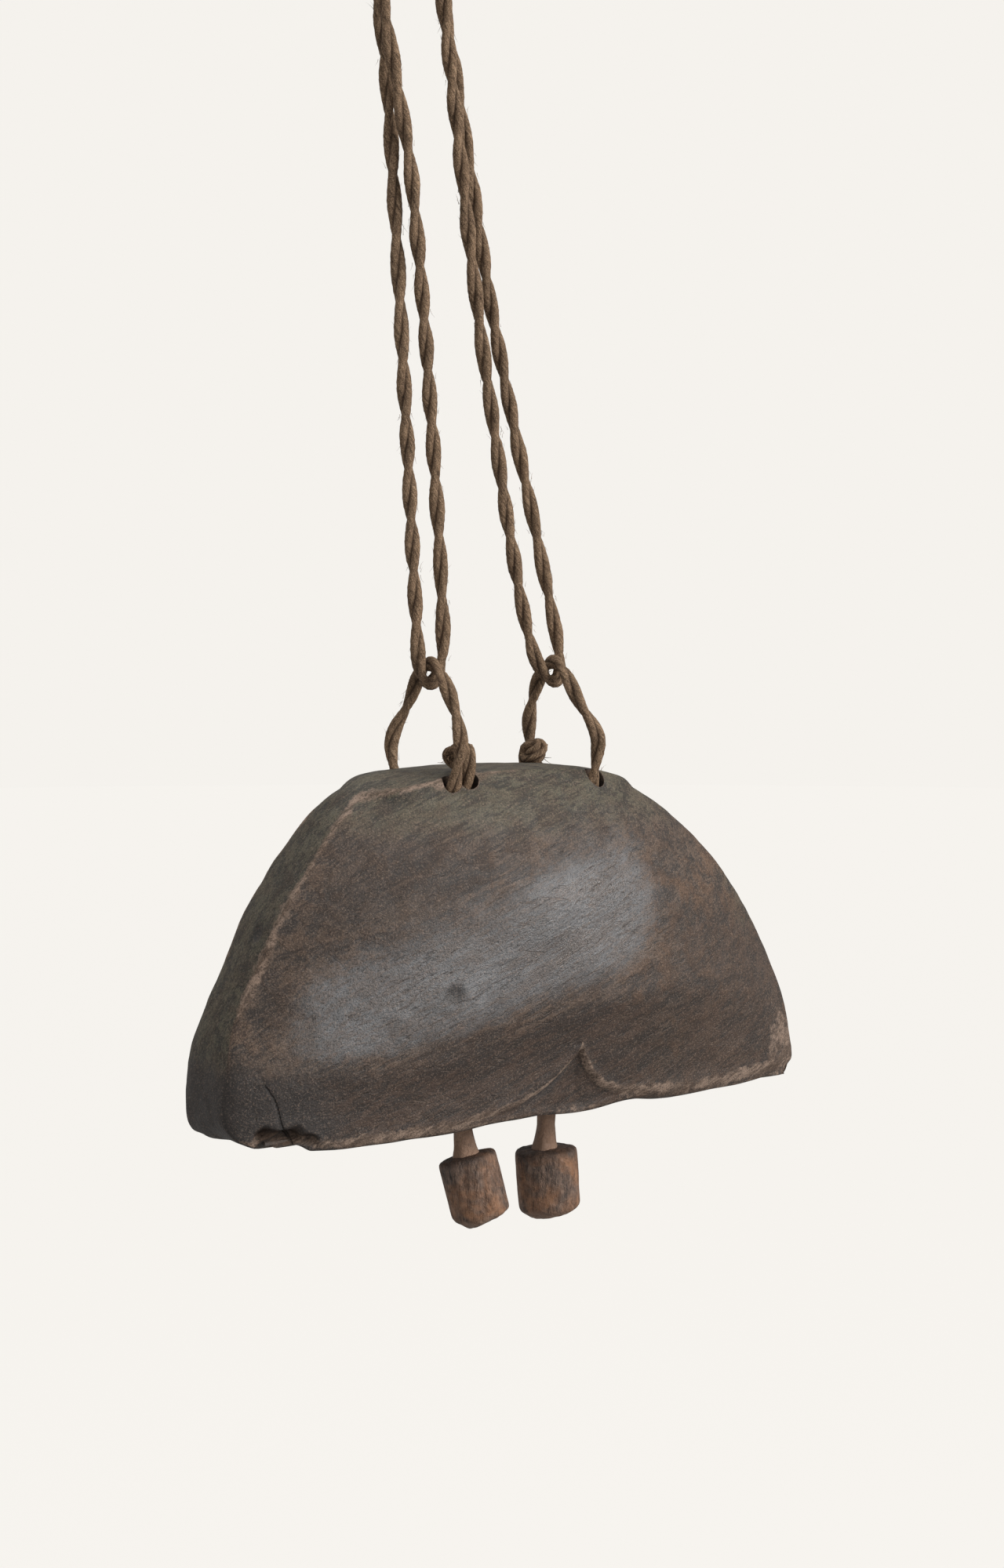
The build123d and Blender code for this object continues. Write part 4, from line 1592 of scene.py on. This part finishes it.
        route = self.tie_route()
        tie = LaidCord(
            f"tie_{word}", f"clapper_{word}_tie", f"{word}_tie", route, 0.0031, 0.02, strands=1,
            fibres_per_metre=300.0, seed=self.seed,
        )
        loop = tie.make(fibre)
        middle = tuple((np.array(route[0]) + np.array(route[-1])) / 2.0)
        knot = Knot(
            f"tie_knot_{word}", f"clapper_{word}_tie_knot", f"{word}_tie", middle, (0.2, 0.1, 1.0),
            0.0016, 1.3, 0.003, 0.0014, seed=self.seed,
        )
        lump = knot.make(fibre)
        return clapper, loop, lump


# ---------------------------------------------------------------------------
# Ropes
# ---------------------------------------------------------------------------


@dataclass
class Ropes:
    """Two bridles through the crown's holes and the long neck rope that they hang from."""

    strand: float = 0.0031
    left_bridle: Route = (
        (-28.5, -12.5, 140.0), (-29.0, -21.0, 146.0), (-27.6, -20.8, 138.0), (-28.4, -11.0, 98.5),
        (-33.2, 11.0, 98.5), (-37.6, 20.8, 138.0), (-36.6, 22.0, 147.0), (-31.4, 16.0, 160.0),
        (-32.8, 5.4, 174.9), (-32.2, -5.4, 174.9), (-31.6, -17.0, 158.0), (-31.8, -21.6, 146.0),
        (-32.6, -20.8, 137.5), (-36.5, -14.0, 104.0), (-38.0, -11.0, 97.0),
    )
    right_bridle: Route = (
        (32.0, 15.0, 138.6), (26.4, 17.5, 143.0), (25.8, 20.8, 137.5), (27.4, 11.0, 98.5),
        (31.0, -11.0, 98.5), (32.8, -21.0, 138.0), (32.6, -22.2, 147.0), (26.4, -16.0, 160.0),
        (26.2, -5.4, 175.0), (25.6, 5.4, 175.0), (26.6, 16.5, 159.0), (28.8, 21.5, 146.0),
        (29.8, 20.8, 137.5), (35.6, 14.0, 104.0), (37.0, 11.0, 97.0),
    )
    neck_rope: Route = (
        (-55.6, 3.5, 437.0), (-51.6, 3.5, 423.0), (-46.6, 3.5, 372.0), (-38.6, 0.0, 190.0),
        (-37.0, 0.0, 167.4), (-28.2, 0.0, 167.4), (-25.2, 0.0, 190.0), (-40.6, -3.5, 354.0),
        (-49.2, -3.5, 395.0), (-56.4, -3.5, 430.0), (-57.5, -3.5, 452.0), (-29.5, -3.5, 452.0),
        (-27.6, -3.5, 424.0), (-20.6, -3.5, 370.0), (-11.4, -3.2, 303.0), (11.2, 0.0, 190.0),
        (21.8, 0.0, 167.0), (30.6, 0.0, 167.6), (27.0, 0.0, 190.0), (-0.2, 3.4, 304.0),
        (-12.0, 3.5, 370.0), (-23.4, 3.5, 428.0), (-29.5, 3.5, 452.0), (-57.5, 3.5, 452.0),
        (-56.2, 3.5, 438.0),
    )

    def make(self, fibre: bpy.types.Material) -> None:
        """Args:
            fibre: Their finish.
        """
        hanging, inner_height = (0.1, 0.1, -1.0), 96.5
        lumps = {
            "bridle_left": [
                Knot("crown_knot_left", "bridle_left_knot", "bell", spot(-28.6, -12.5, 139.4), (0.9, 0.35, 0.2),
                     0.0033, 1.6, 0.0054, 0.0026, (-1.0, -0.1, -0.2), 31),
                Knot("inner_knot_left", "bridle_left_inner_knot", "bell", spot(-38.0, -11.0, inner_height),
                     (0.2, 0.3, 1.0), 0.0030, 1.4, 0.0046, 0.0024, hanging, 33),
            ],
            "bridle_right": [
                Knot("crown_knot_right", "bridle_right_knot", "bell", spot(27.4, 15.5, 138.4), (0.8, 0.2, -0.55),
                     0.0035, 1.8, 0.0056, 0.0027, (0.7, -0.2, -1.0), 35),
                Knot("inner_knot_right", "bridle_right_inner_knot", "bell", spot(37.0, 11.0, inner_height),
                     (0.2, -0.3, 1.0), 0.0030, 1.4, 0.0046, 0.0024, hanging, 37),
            ],
            "neck_rope": [
                Knot("neck_knot", "neck_rope_knot", "bell", spot(-56.0, 4.5, 437.5), (0.15, 0.1, 1.0),
                     0.0044, 2.2, 0.009, 0.0028, (-0.5, 0.3, -1.0), 39),
            ],
        }
        for name, marks, lay_length in (
            ("bridle_left", self.left_bridle, 0.044),
            ("bridle_right", self.right_bridle, 0.042),
            ("neck_rope", self.neck_rope, 0.043),
        ):
            route = [spot(*mark) for mark in marks]
            cord = LaidCord(f"{name}_laid", name, "bell", route, self.strand, lay_length, seed=len(name))
            piece = cord.make(fibre)
            knots = [lump.make(fibre) for lump in lumps[name]]
            LOG.info("%s: %.0f mm", name, 1000 * np.linalg.norm(np.diff(cord.path, axis=0), axis=1).sum())


# ---------------------------------------------------------------------------
# Studio
# ---------------------------------------------------------------------------


@dataclass
class Studio:
    """Camera, soft lights, pale floor and pale surroundings, placed in metres of the model's own frame."""

    camera_place: Point = (-0.4757, -0.7716, -0.257)
    camera_turn: tuple[float, float, float] = (86.0, 0.0, -34.0)
    lens: float = 54.0
    floor_level: float = -0.95
    floor_radius: float = 9.0
    pale: Colour = tone(245, 242, 237)
    surround: float = 0.38

    def camera(self) -> None:
        """Place the camera and make it the scene's."""
        data = bpy.data.cameras.new("camera")
        data.lens = self.lens
        data.sensor_width = 36.0
        data.clip_end = 50.0
        holder = bpy.data.objects.new("camera", data)
        holder.location = self.camera_place
        holder.rotation_euler = [math.radians(angle) for angle in self.camera_turn]
        bpy.context.scene.collection.objects.link(holder)
        bpy.context.scene.camera = holder

    def light(self, name: str, place: Point, target: Point, size: float, power: float, colour: Point) -> None:
        """One square soft box that faces a target.

        Args:
            name: Name of the light.
            place: Where it stands.
            target: What it faces.
            size: Length of its side, in metres.
            power: Power in watts.
            colour: Red, green and blue of its light.
        """
        data = bpy.data.lights.new(name, "AREA")
        data.shape = "SQUARE"
        data.size = size
        data.energy = power
        data.color = colour
        holder = bpy.data.objects.new(name, data)
        way = np.array(target) - np.array(place)
        yaw = math.atan2(way[0], -way[1])
        tilt = math.atan2(math.hypot(way[0], way[1]), -way[2])
        holder.location = place
        holder.rotation_euler = (tilt, 0.0, yaw + math.pi)
        bpy.context.scene.collection.objects.link(holder)

    def surroundings(self) -> None:
        """Pale surroundings, dimmer in what they light than in what is seen of them, and a pale floor."""
        world = bpy.data.worlds.new("studio")
        world.use_nodes = True
        tree = world.node_tree
        tree.nodes.clear()
        g = Graph(tree)
        seen = g.node("Background", {"Color": self.pale, "Strength": 1.0})
        lit = g.node("Background", {"Color": (1.0, 0.985, 0.965, 1.0), "Strength": self.surround})
        path = g.node("LightPath")
        joined = g.node("MixShader")
        tree.links.new(path.outputs["Is Camera Ray"], joined.inputs[0])
        tree.links.new(lit.outputs[0], joined.inputs[1])
        tree.links.new(seen.outputs[0], joined.inputs[2])
        output = g.node("OutputWorld")
        tree.links.new(joined.outputs[0], output.inputs["Surface"])
        bpy.context.scene.world = world

        angle = np.linspace(0.0, 2.0 * math.pi, 96, endpoint=False)
        flat = self.floor_radius * np.stack([np.cos(angle), np.sin(angle)], axis=-1)
        ring = np.column_stack([flat, np.full(len(angle), self.floor_level)])
        mesh = bpy.data.meshes.new("floor")
        mesh.from_pydata(ring.tolist(), [], [tuple(range(len(angle)))])
        floor = bpy.data.objects.new("floor", mesh)
        bpy.context.scene.collection.objects.link(floor)
        material, g, shader = new_material("floor_paint", 0.95, 0.1)
        place = g.node("TexCoord").outputs["Object"]
        paper = g.mix(g.noise(place, 1.3, 2.0), tone(46, 46, 45), tone(50, 49, 48))
        g.feed(shader, {"Base Color": paper, "Emission Color": self.pale, "Emission Strength": 0.985})
        mesh.materials.append(material)
        floor.visible_diffuse = False
        floor.visible_glossy = False

    def build(self) -> None:
        """Set up the whole studio."""
        self.camera()
        self.surroundings()
        bell = spot(0.0, 0.0, 60.0)
        self.light("key", (0.72, -1.15, 0.30), bell, 0.8, 23.0, (1.0, 0.985, 0.97))
        self.light("fill", (-1.2, -1.2, -0.1), bell, 1.2, 3.2, (1.0, 0.99, 0.98))
        self.light("top", (-0.1, 0.2, 1.1), bell, 1.1, 10.5, (1.0, 0.995, 0.98))
        scene = bpy.context.scene
        scene.view_settings.view_transform = "Standard"
        scene.view_settings.look = "None"


# ---------------------------------------------------------------------------
# Assembly
# ---------------------------------------------------------------------------


def main() -> None:
    """Build the studio, the ropes, the bell and the clappers in order."""
    logging.basicConfig(level=logging.INFO, format="%(name)s: %(message)s")
    Studio().build()
    groups = Groups()
    fibre = FibreCord().make(groups)
    Ropes().make(fibre)
    body = BellBody().make(BellWood().make(groups))
    LOG.info("bell body: %d faces", len(body.data.polygons))
    wood = ClapperWood().make(groups)
    for clapper in (
        Clapper(
            Side.LEFT, (-28.4, -11.0, 98.5), (-33.2, 11.0, 98.5), (-23.6, -12.0, -16.5), (0.17, -0.21), 11.4, 27.0, 4
        ),
        Clapper(
            Side.RIGHT, (31.0, -11.0, 98.5), (27.4, 11.0, 98.5), (24.4, 3.0, -22.6), (0.06, -0.05), 12.9, 27.5, 8
        ),
    ):
        whittled, _, _ = clapper.make(wood, fibre)
        LOG.info("clapper %s: %d faces", clapper.side.value, len(whittled.data.polygons))


if __name__ == "__main__":
    main()
